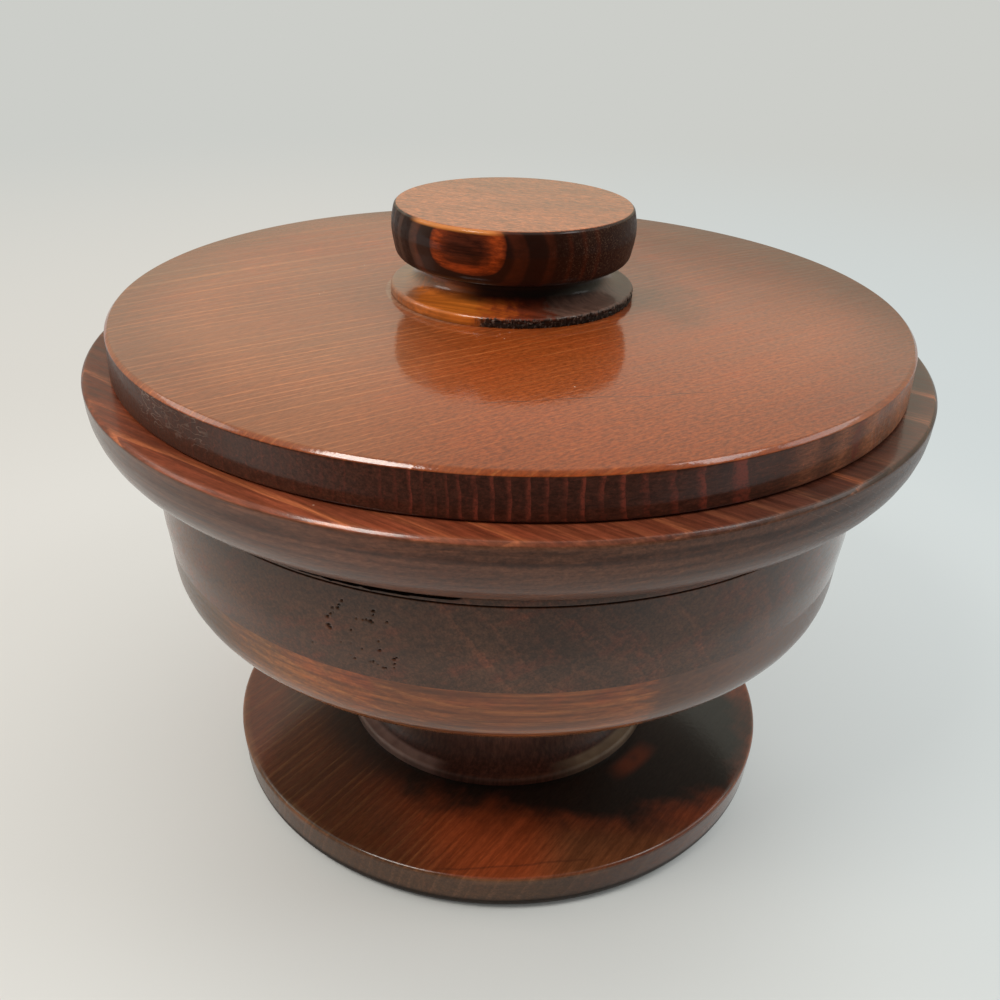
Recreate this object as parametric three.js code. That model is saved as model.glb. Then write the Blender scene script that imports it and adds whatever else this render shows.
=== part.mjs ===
// A lidded pedestal bowl turned from softwood boards, in millimetres.
// It stands on z = 0 and its turning axis is +Z.
//
// Three boards are glued face to face and turned into the bowl: base, wall and rim.
// A spool with a tenon at each end joins the bowl to its foot. The lid is a board
// with a disc glued under it, which drops into the mouth, and a knob glued on top.
// The lid lifts straight off.

import * as THREE from 'three';

// Fits.
const glueLine = 0.3;
const mortiseGap = 0.3;
const lidSeatGap = 0.3;
const lidPlay = 1.5;

// Foot: a flat disc with a crisp upper edge and a rounded lower one.
const footRadius = 85.2;
const footThickness = 13.1;
const footDraft = 1.1;
const footLowerRounding = 3;
const footUpperRounding = 0.9;

// Stem: a spool with a cove all round, and a tenon at each end.
const stemEdge = 0.8;
const stemLowerCoveHeight = 19.2;
const stemUpperCoveHeight = 26.3;
const stemFootRadius = 49.2;
const stemWaistRadius = 38.5;
const stemHeadRadius = 47.5;
const stemTenonRadius = 14;
const stemTenonLength = 7;

// Bowl base: the lowest board, which turns under to the stem.
const baseThickness = 26.5;
const baseFloorThickness = 13.7;
const baseUndersideRise = 7.2;
const baseTurnRadius = 97.9;
const baseOuterRounding = 15.2;
const baseInnerRounding = 12.8;

// Bowl wall: the middle board, with a fine groove and a band under the rim.
const wallBoardThickness = 25.8;
const wallLowerRadius = 99.2;
const wallUpperRadius = 100.2;
const wallSwellHeight = 9;
const wallSwellRounding = 45;
const wallThickness = 11.2;
const wallBandHeight = 1.7;
const wallGrooveDepth = 0.4;
const wallGrooveWidth = 0.6;

// Bowl rim: the top board, whose outer face rolls under in one round to a thin lip.
const rimRadius = 115.7;
const rimThickness = 22.7;
const rimDraft = 0.7;
const rimRollHeight = 6.3;
const rimRollRounding = 19.5;
const rimLipReach = 0.8;
const rimUpperRounding = 1.5;
const rimMouthRounding = 1;
const mouthFlare = 1.5;

// Lid board: a low dome with a flat seat for the knob.
const lidReveal = 7.2;
const lidEdgeThickness = 11.4;
const lidDomeRise = 2.5;
const lidDomeFullness = 0.62;
const lidUpperRounding = 1.2;
const lidLowerRounding = 0.8;

// Locating disc, glued under the lid board.
const discThickness = 6;
const discRounding = 1.5;

// Knob: a collar, a neck and a grip in one piece, with a tenon into the lid board.
const collarRadius = 33.6;
const collarEdge = 2.4;
const collarRounding = 0.9;
const collarCoveHeight = 5.2;
const neckRadius = 25;
const neckLength = 1.3;
const neckRounding = 0.9;
const gripUndersideRise = 0.9;
const gripLowerRadius = 31.8;
const gripLowerRounding = 3;
const gripWidestRadius = 33.9;
const gripSwellHeight = 8.8;
const gripSwellRounding = 16;
const gripCrownHeight = 5.2;
const gripTopRadius = 32.4;
const gripTopRounding = 0.9;
const knobTenonRadius = 9;
const knobTenonLength = 9;
const knobTenonChamfer = 0.8;

// Coves leave their edge level and reach their waist upright: the share of the cove's
// width and of its height that each end keeps to before it bends.
const coveLevelShare = 0.63;
const coveUprightShare = 0.58;

// Flat faces round each turned piece, steps along a curve, the turn of each step along a
// rounding, and the distance under which two points are one.
const boardFacets = 60;
const spindleFacets = 40;
const coveSteps = 7;
const domeSteps = 5;
const roundingStep = THREE.MathUtils.degToRad(30);
const samePoint = 1e-4;

// Sizes that follow from the ones above.
const innerRadius = wallLowerRadius - wallThickness;
const mouthRadius = innerRadius + mouthFlare;
const lidRadius = rimRadius - lidReveal;
const discRadius = mouthRadius - lidPlay;
const stemMortiseRadius = stemTenonRadius + mortiseGap;
const stemMortiseDepth = stemTenonLength + mortiseGap;
const knobMortiseRadius = knobTenonRadius + mortiseGap;
const knobMortiseDepth = knobTenonLength + mortiseGap;
const lidThickness = lidEdgeThickness + lidDomeRise;
const stemWaistHeight = stemEdge + stemLowerCoveHeight;
const stemHeight = stemWaistHeight + stemUpperCoveHeight + stemEdge;
const neckFoot = collarEdge + collarCoveHeight;
const neckTop = neckFoot + neckLength;
const gripUnderside = neckTop + gripUndersideRise;
const gripWidestHeight = gripUnderside + gripSwellHeight;
const knobHeight = gripWidestHeight + gripCrownHeight;

// Height of each piece's lower face above the ground.
const stemLevel = footThickness + glueLine;
const baseLevel = stemLevel + stemHeight + glueLine;
const wallLevel = baseLevel + baseThickness + glueLine;
const rimLevel = wallLevel + wallBoardThickness + glueLine;
const lidLevel = rimLevel + rimThickness + lidSeatGap;
const discLevel = lidLevel - glueLine - discThickness;
const knobLevel = lidLevel + lidThickness + glueLine;

// The inside of the bowl is one straight flare from the base board to the mouth.
const innerHeight = rimLevel + rimThickness - wallLevel + glueLine;
const seamRadius = (level) => innerRadius + (mouthFlare * (level - wallLevel + glueLine)) / innerHeight;

// Adds a point to an outline unless the outline is already there.
function addPoint(outline, point) {
  const last = outline[outline.length - 1];
  if (!last || last.distanceTo(point) > samePoint) outline.push(point);
}

// Turns [radius, height, rounding] corners into an outline. A rounding is an arc that
// touches both sides of its corner, and two that share a side share its length.
function outlineOf(corners) {
  const place = corners.map(([radius, height]) => new THREE.Vector2(radius, height));
  const along = (from, to) => place[to].clone().sub(place[from]).normalize();
  const halfOpening = corners.map(([, , rounding = 0], index) => {
    if (rounding === 0) return Math.PI / 2;
    return Math.acos(along(index, index - 1).dot(along(index, index + 1))) / 2;
  });
  const wanted = corners.map(([, , rounding = 0], index) => rounding / Math.tan(halfOpening[index]));
  const allowed = (index, other) => {
    const side = place[index].distanceTo(place[other]);
    return wanted[index] * Math.min(1, side / (wanted[index] + wanted[other]));
  };
  const outline = [];
  corners.forEach(([, , rounding = 0], index) => {
    const corner = place[index];
    if (rounding === 0) {
      addPoint(outline, corner);
      return;
    }
    const back = along(index, index - 1);
    const ahead = along(index, index + 1);
    const reach = Math.min(allowed(index, index - 1), allowed(index, index + 1));
    const toCentre = reach / Math.cos(halfOpening[index]);
    const centre = corner.clone().addScaledVector(back.clone().add(ahead).normalize(), toCentre);
    const first = corner.clone().addScaledVector(back, reach).sub(centre);
    const last = corner.clone().addScaledVector(ahead, reach).sub(centre);
    const turn = Math.atan2(first.cross(last), first.dot(last));
    const steps = Math.max(2, Math.round(Math.abs(turn) / roundingStep));
    for (let step = 0; step <= steps; step += 1) {
      const spoke = first.clone().rotateAround(new THREE.Vector2(), (turn * step) / steps);
      addPoint(outline, centre.clone().add(spoke));
    }
  });
  return outline;
}

// A smooth stretch that leaves `from` towards `pull` and arrives at `to` from `lead`.
function sweep(from, pull, lead, to, steps) {
  const ends = [from, pull, lead, to].map(([radius, height]) => new THREE.Vector2(radius, height));
  return new THREE.CubicBezierCurve(...ends).getPoints(steps).map(({ x, y }) => [x, y]);
}

// A hollow curve from an edge, which it leaves level, to a waist, where it stands upright.
function cove(edge, waist) {
  const pull = [edge[0] + (waist[0] - edge[0]) * coveLevelShare, edge[1]];
  const lead = [waist[0], waist[1] + (edge[1] - waist[1]) * coveUprightShare];
  return sweep(edge, pull, lead, waist, coveSteps);
}

// Revolves an outline about the axis. Outlines run outwards along the bottom, up the
// outside and back along the top; a ring's outline ends where it began.
function turned(name, corners, level, facets, finish, ring = false) {
  const outline = outlineOf(corners);
  if (ring) outline.push(outline[0].clone());
  const mesh = new THREE.Mesh(new THREE.LatheGeometry(outline, facets), finish);
  mesh.name = name;
  mesh.position.y = level;
  return mesh;
}

const varnished = (color, roughness) => new THREE.MeshStandardMaterial({ color, roughness, metalness: 0 });
const redBrown = varnished(0x7a3b22, 0.3);
const darkBrown = varnished(0x4c2a20, 0.35);
const orangeBrown = varnished(0x84482a, 0.32);
const rimBrown = varnished(0x6b3422, 0.3);
const lidBrown = varnished(0x8a4a33, 0.28);
const rawBrown = varnished(0x70422c, 0.5);

function makeFoot() {
  const mortiseFloor = footThickness - stemMortiseDepth;
  const corners = [
    [0, 0],
    [footRadius - footDraft, 0, footLowerRounding],
    [footRadius, footThickness, footUpperRounding],
    [stemMortiseRadius, footThickness],
    [stemMortiseRadius, mortiseFloor],
    [0, mortiseFloor],
  ];
  return turned('foot', corners, 0, boardFacets, redBrown);
}

function makeStem() {
  const waist = [stemWaistRadius, stemWaistHeight];
  const lowerCove = cove([stemFootRadius, stemEdge], waist);
  const upperCove = cove([stemHeadRadius, stemHeight - stemEdge], waist).reverse();
  const corners = [
    [0, -stemTenonLength],
    [stemTenonRadius, -stemTenonLength],
    [stemTenonRadius, 0],
    [stemFootRadius, 0],
    ...lowerCove,
    ...upperCove.slice(1),
    [stemHeadRadius, stemHeight],
    [stemTenonRadius, stemHeight],
    [stemTenonRadius, stemHeight + stemTenonLength],
    [0, stemHeight + stemTenonLength],
  ];
  return turned('stem', corners, stemLevel, spindleFacets, darkBrown);
}

function makeBowlBase() {
  const corners = [
    [0, stemMortiseDepth],
    [stemMortiseRadius, stemMortiseDepth],
    [stemMortiseRadius, 0],
    [stemHeadRadius, 0],
    [baseTurnRadius, baseUndersideRise, baseOuterRounding],
    [wallLowerRadius, baseThickness],
    [innerRadius, baseThickness],
    [innerRadius, baseFloorThickness, baseInnerRounding],
    [0, baseFloorThickness],
  ];
  return turned('bowl_base', corners, baseLevel, boardFacets, orangeBrown);
}

function makeBowlWall() {
  const bandFoot = wallBoardThickness - wallBandHeight;
  const grooveRadius = wallUpperRadius - wallGrooveDepth;
  const corners = [
    [innerRadius, 0],
    [wallLowerRadius, 0],
    [wallUpperRadius, wallSwellHeight, wallSwellRounding],
    [wallUpperRadius, bandFoot - wallGrooveWidth],
    [grooveRadius, bandFoot - wallGrooveWidth / 2],
    [wallUpperRadius, bandFoot],
    [wallUpperRadius, wallBoardThickness],
    [seamRadius(rimLevel), wallBoardThickness],
  ];
  return turned('bowl_wall', corners, wallLevel, boardFacets, darkBrown, true);
}

function makeBowlRim() {
  const corners = [
    [seamRadius(rimLevel), 0],
    [wallUpperRadius + rimLipReach, 0],
    [rimRadius - rimDraft, rimRollHeight, rimRollRounding],
    [rimRadius, rimThickness, rimUpperRounding],
    [mouthRadius, rimThickness, rimMouthRounding],
  ];
  return turned('bowl_rim', [...corners, corners[0]], rimLevel, boardFacets, rimBrown);
}

function makeLidBoard() {
  const domeStart = [lidRadius - lidUpperRounding, lidEdgeThickness];
  const domeRun = domeStart[0] - collarRadius;
  const dome = sweep(
    domeStart,
    [domeStart[0] - domeRun / 3, lidEdgeThickness + lidDomeRise * lidDomeFullness],
    [collarRadius + domeRun / 3, lidThickness],
    [collarRadius, lidThickness],
    domeSteps,
  );
  const corners = [
    [0, 0],
    [lidRadius, 0, lidLowerRounding],
    [lidRadius, lidEdgeThickness, lidUpperRounding],
    ...dome,
    [knobMortiseRadius, lidThickness],
    [knobMortiseRadius, lidThickness - knobMortiseDepth],
    [0, lidThickness - knobMortiseDepth],
  ];
  return turned('lid_board', corners, lidLevel, boardFacets, lidBrown);
}

function makeLocatingDisc() {
  const corners = [
    [0, 0],
    [discRadius, 0, discRounding],
    [discRadius, discThickness],
    [0, discThickness],
  ];
  return turned('lid_locating_disc', corners, discLevel, boardFacets, rawBrown);
}

function makeKnob() {
  const corners = [
    [0, -knobTenonLength],
    [knobTenonRadius, -knobTenonLength, knobTenonChamfer],
    [knobTenonRadius, 0],
    [collarRadius, 0],
    [collarRadius, collarEdge, collarRounding],
    ...cove([collarRadius - collarRounding, collarEdge], [neckRadius, neckFoot]),
    [neckRadius, neckTop, neckRounding],
    [gripLowerRadius, gripUnderside, gripLowerRounding],
    [gripWidestRadius, gripWidestHeight, gripSwellRounding],
    [gripTopRadius, knobHeight, gripTopRounding],
    [0, knobHeight],
  ];
  return turned('lid_knob', corners, knobLevel, spindleFacets, orangeBrown);
}

// Outlines are drawn with their height along Y, so the lathe axis is stood up on Z here.
const bowl = new THREE.Group();
bowl.add(makeFoot(), makeStem(), makeBowlBase(), makeBowlWall(), makeBowlRim());

const lid = new THREE.Group();
lid.add(makeLidBoard(), makeLocatingDisc(), makeKnob());

const pedestalBowl = new THREE.Group();
pedestalBowl.rotation.x = Math.PI / 2;
pedestalBowl.add(bowl, lid);

export default pedestalBowl;
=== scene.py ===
# %% [markdown]
# # A lidded pedestal bowl in varnished softwood
# The bowl is treen: plain boards glued into a block and turned on a lathe, stained red-brown
# and varnished. Everything on it is round, so nearly all of the modelling is drawing one
# outline for each piece and spinning it. What makes it look like wood is the grain, which
# has to run through each board the way it was cut, and the varnish over it.

# %% Load the frame
import math
from types import SimpleNamespace

import bpy
import numpy as np
from mathutils import Matrix, Vector, noise


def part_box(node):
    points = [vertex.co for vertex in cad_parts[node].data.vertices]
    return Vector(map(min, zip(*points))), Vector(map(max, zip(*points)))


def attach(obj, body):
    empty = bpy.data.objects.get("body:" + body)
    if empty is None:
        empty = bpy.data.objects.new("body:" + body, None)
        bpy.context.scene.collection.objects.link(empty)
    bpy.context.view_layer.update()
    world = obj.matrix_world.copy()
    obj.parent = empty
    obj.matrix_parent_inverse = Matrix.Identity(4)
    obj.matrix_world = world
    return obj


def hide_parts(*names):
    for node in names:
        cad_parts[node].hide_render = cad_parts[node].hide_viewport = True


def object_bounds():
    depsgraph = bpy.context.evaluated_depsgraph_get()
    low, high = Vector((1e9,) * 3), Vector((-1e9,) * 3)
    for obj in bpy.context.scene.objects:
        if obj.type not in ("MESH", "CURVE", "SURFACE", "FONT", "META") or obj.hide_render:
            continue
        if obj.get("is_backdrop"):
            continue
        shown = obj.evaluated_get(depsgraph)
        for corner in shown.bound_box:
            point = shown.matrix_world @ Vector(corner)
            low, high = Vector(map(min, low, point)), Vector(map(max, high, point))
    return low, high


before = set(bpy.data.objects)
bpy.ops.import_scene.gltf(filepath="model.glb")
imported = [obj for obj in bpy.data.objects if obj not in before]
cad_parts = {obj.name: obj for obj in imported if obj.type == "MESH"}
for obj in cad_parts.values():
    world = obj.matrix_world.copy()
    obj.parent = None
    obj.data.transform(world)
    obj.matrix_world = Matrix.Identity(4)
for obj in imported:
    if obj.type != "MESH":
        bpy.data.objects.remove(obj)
cad_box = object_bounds()

# %% [markdown]
# ## The camera
# The picture is taken from close by, a little above the lid, so the near rim looks larger
# than the far one. A camera is set by a matrix here and not by three angles, because its
# right, up and forward directions are easy to write down and hard to get wrong. The slight
# roll is the photographer's hand.

# %% Camera
CAMERA_PLACE = (0.0, -0.29223, 0.24044)
CAMERA_LENS = 38.685
CAMERA_SENSOR = 36.0
CAMERA_PITCH = 0.492189
CAMERA_ROLL = 0.0298865
CAMERA_YAW = -0.0052236


def aimed(place, pitch, roll, yaw):
    """A camera's matrix: it looks along +Y, turned by yaw, tipped down by pitch, then rolled."""
    forward = Vector((math.sin(yaw) * math.cos(pitch), math.cos(yaw) * math.cos(pitch), -math.sin(pitch)))
    level_right = Vector((math.cos(yaw), -math.sin(yaw), 0))
    level_up = level_right.cross(forward)
    right = level_right * math.cos(roll) + level_up * math.sin(roll)
    up = level_up * math.cos(roll) - level_right * math.sin(roll)
    turn = Matrix((right, up, -forward)).transposed()
    return Matrix.Translation(place) @ turn.to_4x4()


camera = bpy.data.objects.new("camera", bpy.data.cameras.new("camera"))
camera.data.lens = CAMERA_LENS
camera.data.sensor_width = CAMERA_SENSOR
camera.data.clip_start = 0.01
camera.matrix_world = aimed(CAMERA_PLACE, CAMERA_PITCH, CAMERA_ROLL, CAMERA_YAW)
bpy.context.scene.collection.objects.link(camera)
bpy.context.scene.camera = camera
bpy.context.scene.view_settings.view_transform = "Standard"
print(f"camera: {CAMERA_LENS} mm lens, {Vector(CAMERA_PLACE).length * 1000:.0f} mm from the foot's middle")

# %% [markdown]
# ## Sizes, taken from the frame
# The frame already holds every piece at its real size. Reading radius and height from it
# means that the shapes below follow if the frame changes. Only what a box can't say, such
# as how round an edge is, gets a number of its own. Outlines are drawn in millimetres.

# %% Sizes from the frame
MM = 0.001


def reach(node):
    """A turned piece's greatest radius, lowest and highest level, in millimetres."""
    low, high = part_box(node)
    return high.y / MM, low.z / MM, high.z / MM


foot_radius, foot_bottom, foot_top = reach("foot")
stem_radius, stem_bottom, stem_top = reach("stem")
base_radius, base_bottom, base_top = reach("bowl_base")
wall_radius, wall_bottom, wall_top = reach("bowl_wall")
rim_radius, rim_bottom, rim_top = reach("bowl_rim")
lid_radius, lid_bottom, lid_top = reach("lid_board")
disc_radius, disc_bottom, _ = reach("lid_locating_disc")
knob_radius, knob_bottom, knob_top = reach("lid_knob")
for name, size in (("foot", foot_radius), ("rim", rim_radius), ("lid", lid_radius), ("knob", knob_radius)):
    print(f"{name}: {2 * size:.1f} mm across")

# %% [markdown]
# ## Drawing an outline
# A turner thinks in straight cuts and rounded corners, so an outline here is a list of
# corners, each with its rounding. Blender could bevel a spun mesh instead, but a bevel made
# on the outline itself is exact, cheap, and the same all round. Each corner also says how
# worn it is: a positive number for an edge that hands have rubbed, a negative one for a
# corner where stain and dust collect. The finish reads that later.

# %% Rounded corners
ARC_STEP = math.radians(9)


def corner_arc(before, corner, after, rounding):
    """Points of the arc that rounds a corner, touching the side before it and the side after it."""
    back = (before - corner).normalized()
    ahead = (after - corner).normalized()
    half_opening = back.angle(ahead) / 2
    room = min(0.5 * (before - corner).length, 0.98 * (after - corner).length)
    touch = min(rounding / math.tan(half_opening), room)
    centre = corner + (back + ahead).normalized() * (touch / math.cos(half_opening))
    first = corner + back * touch - centre
    last = corner + ahead * touch - centre
    turn = math.atan2(first.x * last.y - first.y * last.x, first.dot(last))
    steps = max(3, round(abs(turn) / ARC_STEP))
    points = []
    for step in range(steps + 1):
        spin = Matrix.Rotation(turn * step / steps, 2)
        points.append(centre + spin @ first)
    return points


print(f"a rounded corner is cut in steps of {math.degrees(ARC_STEP):.0f} degrees")

# %% Outline
COARSE_STRETCH = 3.0
WEAR_SPREAD = 1.6


def stops_between(length, stretch, worn):
    """Shares of a side at which it gets a point: close enough together, and closer beside a worn corner."""
    count = math.ceil(length / stretch)
    stops = {step / count for step in range(1, count + 1)}
    if worn and length > 2 * WEAR_SPREAD:
        near, close = WEAR_SPREAD / length, 0.3 * WEAR_SPREAD / length
        stops |= {close, near, 1 - near, 1 - close}
    return sorted(stops)


def outline_of(corners, closed, fine_from, fine_stretch):
    """Turns (radius, height, rounding, wear) corners into a fine outline of (radius, height, wear) rows."""
    corners = [tuple(corner) + (0,) * (4 - len(corner)) for corner in corners]
    places = [Vector(corner[:2]) for corner in corners]
    points, wear = [], []
    for index, (_, _, rounding, worn) in enumerate(corners):
        inner = closed or 0 < index < len(corners) - 1
        before, after = places[index - 1], places[(index + 1) % len(places)]
        arc = corner_arc(before, places[index], after, rounding) if rounding and inner else [places[index]]
        points += arc
        wear += [worn] * len(arc)
    if closed:
        points.append(points[0].copy())
        wear.append(wear[0])
    rows = [(points[0].x, points[0].y, wear[0])]
    for start, end, worn_start, worn_end in zip(points, points[1:], wear, wear[1:]):
        length = (end - start).length
        if length < 1e-4:
            continue
        stretch = fine_stretch if min(start.x, end.x) > fine_from else COARSE_STRETCH
        for stop in stops_between(length, stretch, worn_start or worn_end):
            place = start.lerp(end, stop)
            fade_start = max(0.0, 1 - stop * length / WEAR_SPREAD)
            fade_end = max(0.0, 1 - (1 - stop) * length / WEAR_SPREAD)
            rows.append((place.x, place.y, worn_start * fade_start + worn_end * fade_end))
    return rows[:-1] if closed else rows


print(f"a side gets a point every {COARSE_STRETCH:.0f} mm or closer, and more beside a worn corner")

# %% Curves
COVE_LEVEL_SHARE = 0.63
COVE_UPRIGHT_SHARE = 0.58


def bent(start, pull, lead, end, steps=14):
    """Points on the smooth curve that leaves start towards pull and reaches end from lead."""
    rows = []
    for step in range(steps + 1):
        t = step / steps
        weights = ((1 - t) ** 3, 3 * t * (1 - t) ** 2, 3 * t * t * (1 - t), t ** 3)
        pairs = list(zip(weights, (start, pull, lead, end)))
        rows.append(tuple(sum(weight * point[axis] for weight, point in pairs) for axis in (0, 1)))
    return rows


def cove(edge, waist):
    """A hollow curve from an edge, which it leaves level, to a waist, where it stands upright."""
    pull = (edge[0] + (waist[0] - edge[0]) * COVE_LEVEL_SHARE, edge[1])
    lead = (waist[0], waist[1] + (edge[1] - waist[1]) * COVE_UPRIGHT_SHARE)
    return bent(edge, pull, lead, waist)


print(f"a cove is drawn with {len(cove((50, 0), (40, 20)))} points")

# %% [markdown]
# ## Spinning it
# Blender's Screw modifier can spin an outline, but a mesh written row by row keeps the
# order of its points. Then each point still knows its place on the outline and its angle,
# so wear, pits and a hand-turned wobble can be put where they belong. Azimuth 0 faces the
# camera and grows to the right. Hand turning is never quite true: a slow noise takes up to
# a twentieth of a millimetre off the surface, enough to make the highlights waver.

# %% Rows and columns
SHARP_CORNER = math.radians(42)
WOBBLE = 0.06
WOBBLE_LENGTH = 26.0


def azimuths(count, dense):
    """Angles round a piece, even, or finer in the stretch that dense = (start, end, count) names."""
    if dense is None:
        return np.radians(np.arange(count) * 360 / count - 180)
    start, end, inside = dense
    outside = np.linspace(end, start + 360, count + 1)[:-1]
    return np.radians(np.concatenate([np.linspace(start, end, inside + 1)[:-1], outside]))


def wobbled(points, radius):
    """Pulls every point a little towards the axis, by a slow noise of its place."""
    for place, out in zip(points.reshape(-1, 3), radius.reshape(-1)):
        sway = abs(noise.noise(Vector(place / WOBBLE_LENGTH))) * WOBBLE
        place[:2] *= 1 - sway / max(out, 1)
    return points


print(f"hand turning takes up to {WOBBLE} mm off the surface")

# %% Spinning helper
NOWHERE_FINE = (math.inf, COARSE_STRETCH)


def turned(name, corners, count=300, closed=False, dense=None, shape=None, fine=NOWHERE_FINE):
    """Spins an outline into a closed mesh object with the attribute wear on its points."""
    rows = np.array(outline_of(corners, closed, *fine))
    angle = azimuths(count, dense)
    on_axis = rows[:, 0] < 1e-6
    radius, height, wear = (np.repeat(rows[:, axis:axis + 1], len(angle), 1) for axis in range(3))
    azimuth = np.repeat(angle[None, :], len(rows), 0)
    if shape is not None:
        radius, height, wear = shape(radius, height, wear, azimuth)
    points = np.stack([radius * np.sin(azimuth), -radius * np.cos(azimuth), height], -1)
    points = wobbled(points, radius) * MM
    starts, vertices, marks = [], [], []
    for row, single in enumerate(on_axis):
        chosen = slice(0, 1) if single else slice(None)
        starts.append(len(vertices))
        vertices.extend(points[row, chosen].tolist())
        marks.extend(wear[row, chosen].tolist())
    faces = []
    for row in range(len(rows) if closed else len(rows) - 1):
        above_row = (row + 1) % len(rows)
        here, above = starts[row], starts[above_row]
        for column in range(len(angle)):
            right = (column + 1) % len(angle)
            lower = [here] if on_axis[row] else [here + column, here + right]
            upper = [above] if on_axis[above_row] else [above + right, above + column]
            if len(lower) + len(upper) > 2:
                faces.append(lower + upper)
    mesh = bpy.data.meshes.new(name)
    mesh.from_pydata(vertices, [], faces)
    mesh.attributes.new("wear", "FLOAT", "POINT").data.foreach_set("value", np.array(marks, np.float32))
    mesh.polygons.foreach_set("use_smooth", [True] * len(mesh.polygons))
    mesh.update()
    mesh.set_sharp_from_angle(angle=SHARP_CORNER)
    piece = bpy.data.objects.new(name, mesh)
    bpy.context.scene.collection.objects.link(piece)
    print(f"{name}: {len(mesh.vertices)} points, {len(mesh.polygons)} faces")
    return piece


# %% [markdown]
# ## The foot
# A flat disc with a crisp upper edge, which the varnish rounds a little, and a softer lower
# one. A bevelled cylinder would come close, but its two edges would be alike. The outline
# takes a rounding for each, and the mortise in the middle, where the stem's tenon sits.

# %% Foot
FOOT_DRAFT = 1.1
FOOT_LOWER_ROUNDING = 4.5
FOOT_UPPER_ROUNDING = 1.2
TENON_RADIUS = 14.0
TENON_LENGTH = 7.0
MORTISE_GAP = 0.3
mortise_radius = TENON_RADIUS + MORTISE_GAP
mortise_depth = TENON_LENGTH + MORTISE_GAP

foot = turned("foot_disc", [
    (0, foot_bottom),
    (foot_radius - FOOT_DRAFT, foot_bottom, FOOT_LOWER_ROUNDING, -0.8),
    (foot_radius, foot_top, FOOT_UPPER_ROUNDING, 1.0),
    (mortise_radius, foot_top),
    (mortise_radius, foot_top - mortise_depth),
    (0, foot_top - mortise_depth),
])

# %% [markdown]
# ## The stem
# A spool: one long hollow, as a turner cuts it with a gouge from both ends towards the
# waist. It leaves each end level and stands upright at the waist. An arc can do that only if
# it is as high as it is deep, so each half is a curve with two handles. A low rounded edge
# at its foot is all that is left of the square corner, and the light glints along it.

# %% Stem
STEM_EDGE = 2.2
STEM_EDGE_ROUNDING = 1.9
STEM_LOWER_COVE = 17.8
STEM_WAIST_RADIUS = 38.5
STEM_HEAD_RADIUS = 47.5
GLUE = 0.3
SQUEEZED_GLUE = 0.05
stem_seat = foot_top + SQUEEZED_GLUE
stem_head = base_bottom - SQUEEZED_GLUE
stem_waist = (STEM_WAIST_RADIUS, foot_top + GLUE + STEM_EDGE + STEM_LOWER_COVE)
stem_foot_edge = foot_top + GLUE + STEM_EDGE
stem_head_edge = base_bottom - GLUE - STEM_EDGE / 2

stem = turned("stem_spool", [
    (0, stem_bottom),
    (TENON_RADIUS, stem_bottom),
    (TENON_RADIUS, stem_seat),
    (stem_radius, stem_seat),
    (stem_radius, stem_foot_edge, STEM_EDGE_ROUNDING, 0.3),
    *cove((stem_radius, stem_foot_edge), stem_waist)[1:],
    *cove((STEM_HEAD_RADIUS, stem_head_edge), stem_waist)[-2::-1],
    (STEM_HEAD_RADIUS, stem_head),
    (TENON_RADIUS, stem_head),
    (TENON_RADIUS, stem_top),
    (0, stem_top),
])

# %% [markdown]
# ## The bowl: base, wall and rim
# Three boards glued face to face. The base board turns under to the stem outside and holds
# the floor inside. The wall is a plain ring with a fine groove cut just under the rim. The
# rim is wider, and its outer face rolls under in one round to meet the wall. One outline
# could hold all three, but each board has a grain of its own, so each is spun by itself.
# They meet because they share the values of their joints.

# %% Bowl base
BASE_FLOOR = 13.7
BASE_UNDERSIDE_RISE = 7.2
BASE_TURN_INSET = 1.3
BASE_OUTER_ROUNDING = 15.2
BASE_INNER_ROUNDING = 12.8
WALL_THICKNESS = 11.2
inside_radius = base_radius - WALL_THICKNESS
board_joint = base_top + GLUE / 2

bowl_base = turned("bowl_base_board", [
    (0, base_bottom + mortise_depth),
    (mortise_radius, base_bottom + mortise_depth),
    (mortise_radius, base_bottom),
    (STEM_HEAD_RADIUS, base_bottom),
    (base_radius - BASE_TURN_INSET, base_bottom + BASE_UNDERSIDE_RISE, BASE_OUTER_ROUNDING),
    (base_radius, board_joint),
    (inside_radius, board_joint),
    (inside_radius, base_bottom + BASE_FLOOR, BASE_INNER_ROUNDING),
    (0, base_bottom + BASE_FLOOR),
])

# %% [markdown]
# ## Damage in the wall
# Two kinds of damage give the wall its age. On the left the glue joint under the rim has
# opened: the wall's upper edge falls away there, by a little more than a millimetre at most,
# and it is painted dark with dirt and shade, so the gap reads as a black wedge. Further down,
# small pits lie in short rows where a knot was torn out. They are too small to cut with a
# Boolean, so they are pressed into the spun mesh as soft dents, which is why it gets close
# columns on that side.

# %% Joint and pits
OPEN_JOINT_COURSE = (
    (-41, 0.0), (-36, 0.55), (-28, 0.95), (-17, 1.0), (-9, 0.8), (-5.8, 0.7), (-5.3, 0.0),
)
OPEN_JOINT_DROP = 1.25
OPEN_JOINT_DEPTH = 2.6
PIT_ROWS = (
    (-20.7, 107.1, -22.9, 102.0, 7, 0.7), (-22.6, 99.8, -22.3, 99.5, 2, 1.2),
    (-18.5, 104.1, -16.3, 103.4, 5, 0.75), (-16.5, 107.1, -16.2, 106.1, 2, 0.7),
    (-14.6, 104.6, -14.6, 104.6, 1, 0.6), (-20.0, 92.7, -19.5, 92.5, 2, 0.7),
    (-17.2, 92.8, -14.9, 90.9, 5, 0.85), (-15.6, 96.1, -15.6, 96.1, 1, 0.8),
    (-13.7, 95.5, -14.0, 92.4, 4, 0.75), (-25.5, 93.3, -25.1, 93.2, 1, 0.6),
    (-21.5, 96.5, -18.0, 95.5, 3, 0.45), (-19.5, 100.5, -15.5, 99.0, 3, 0.4),
)
PIT_HALF_LENGTH = 0.46
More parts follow.
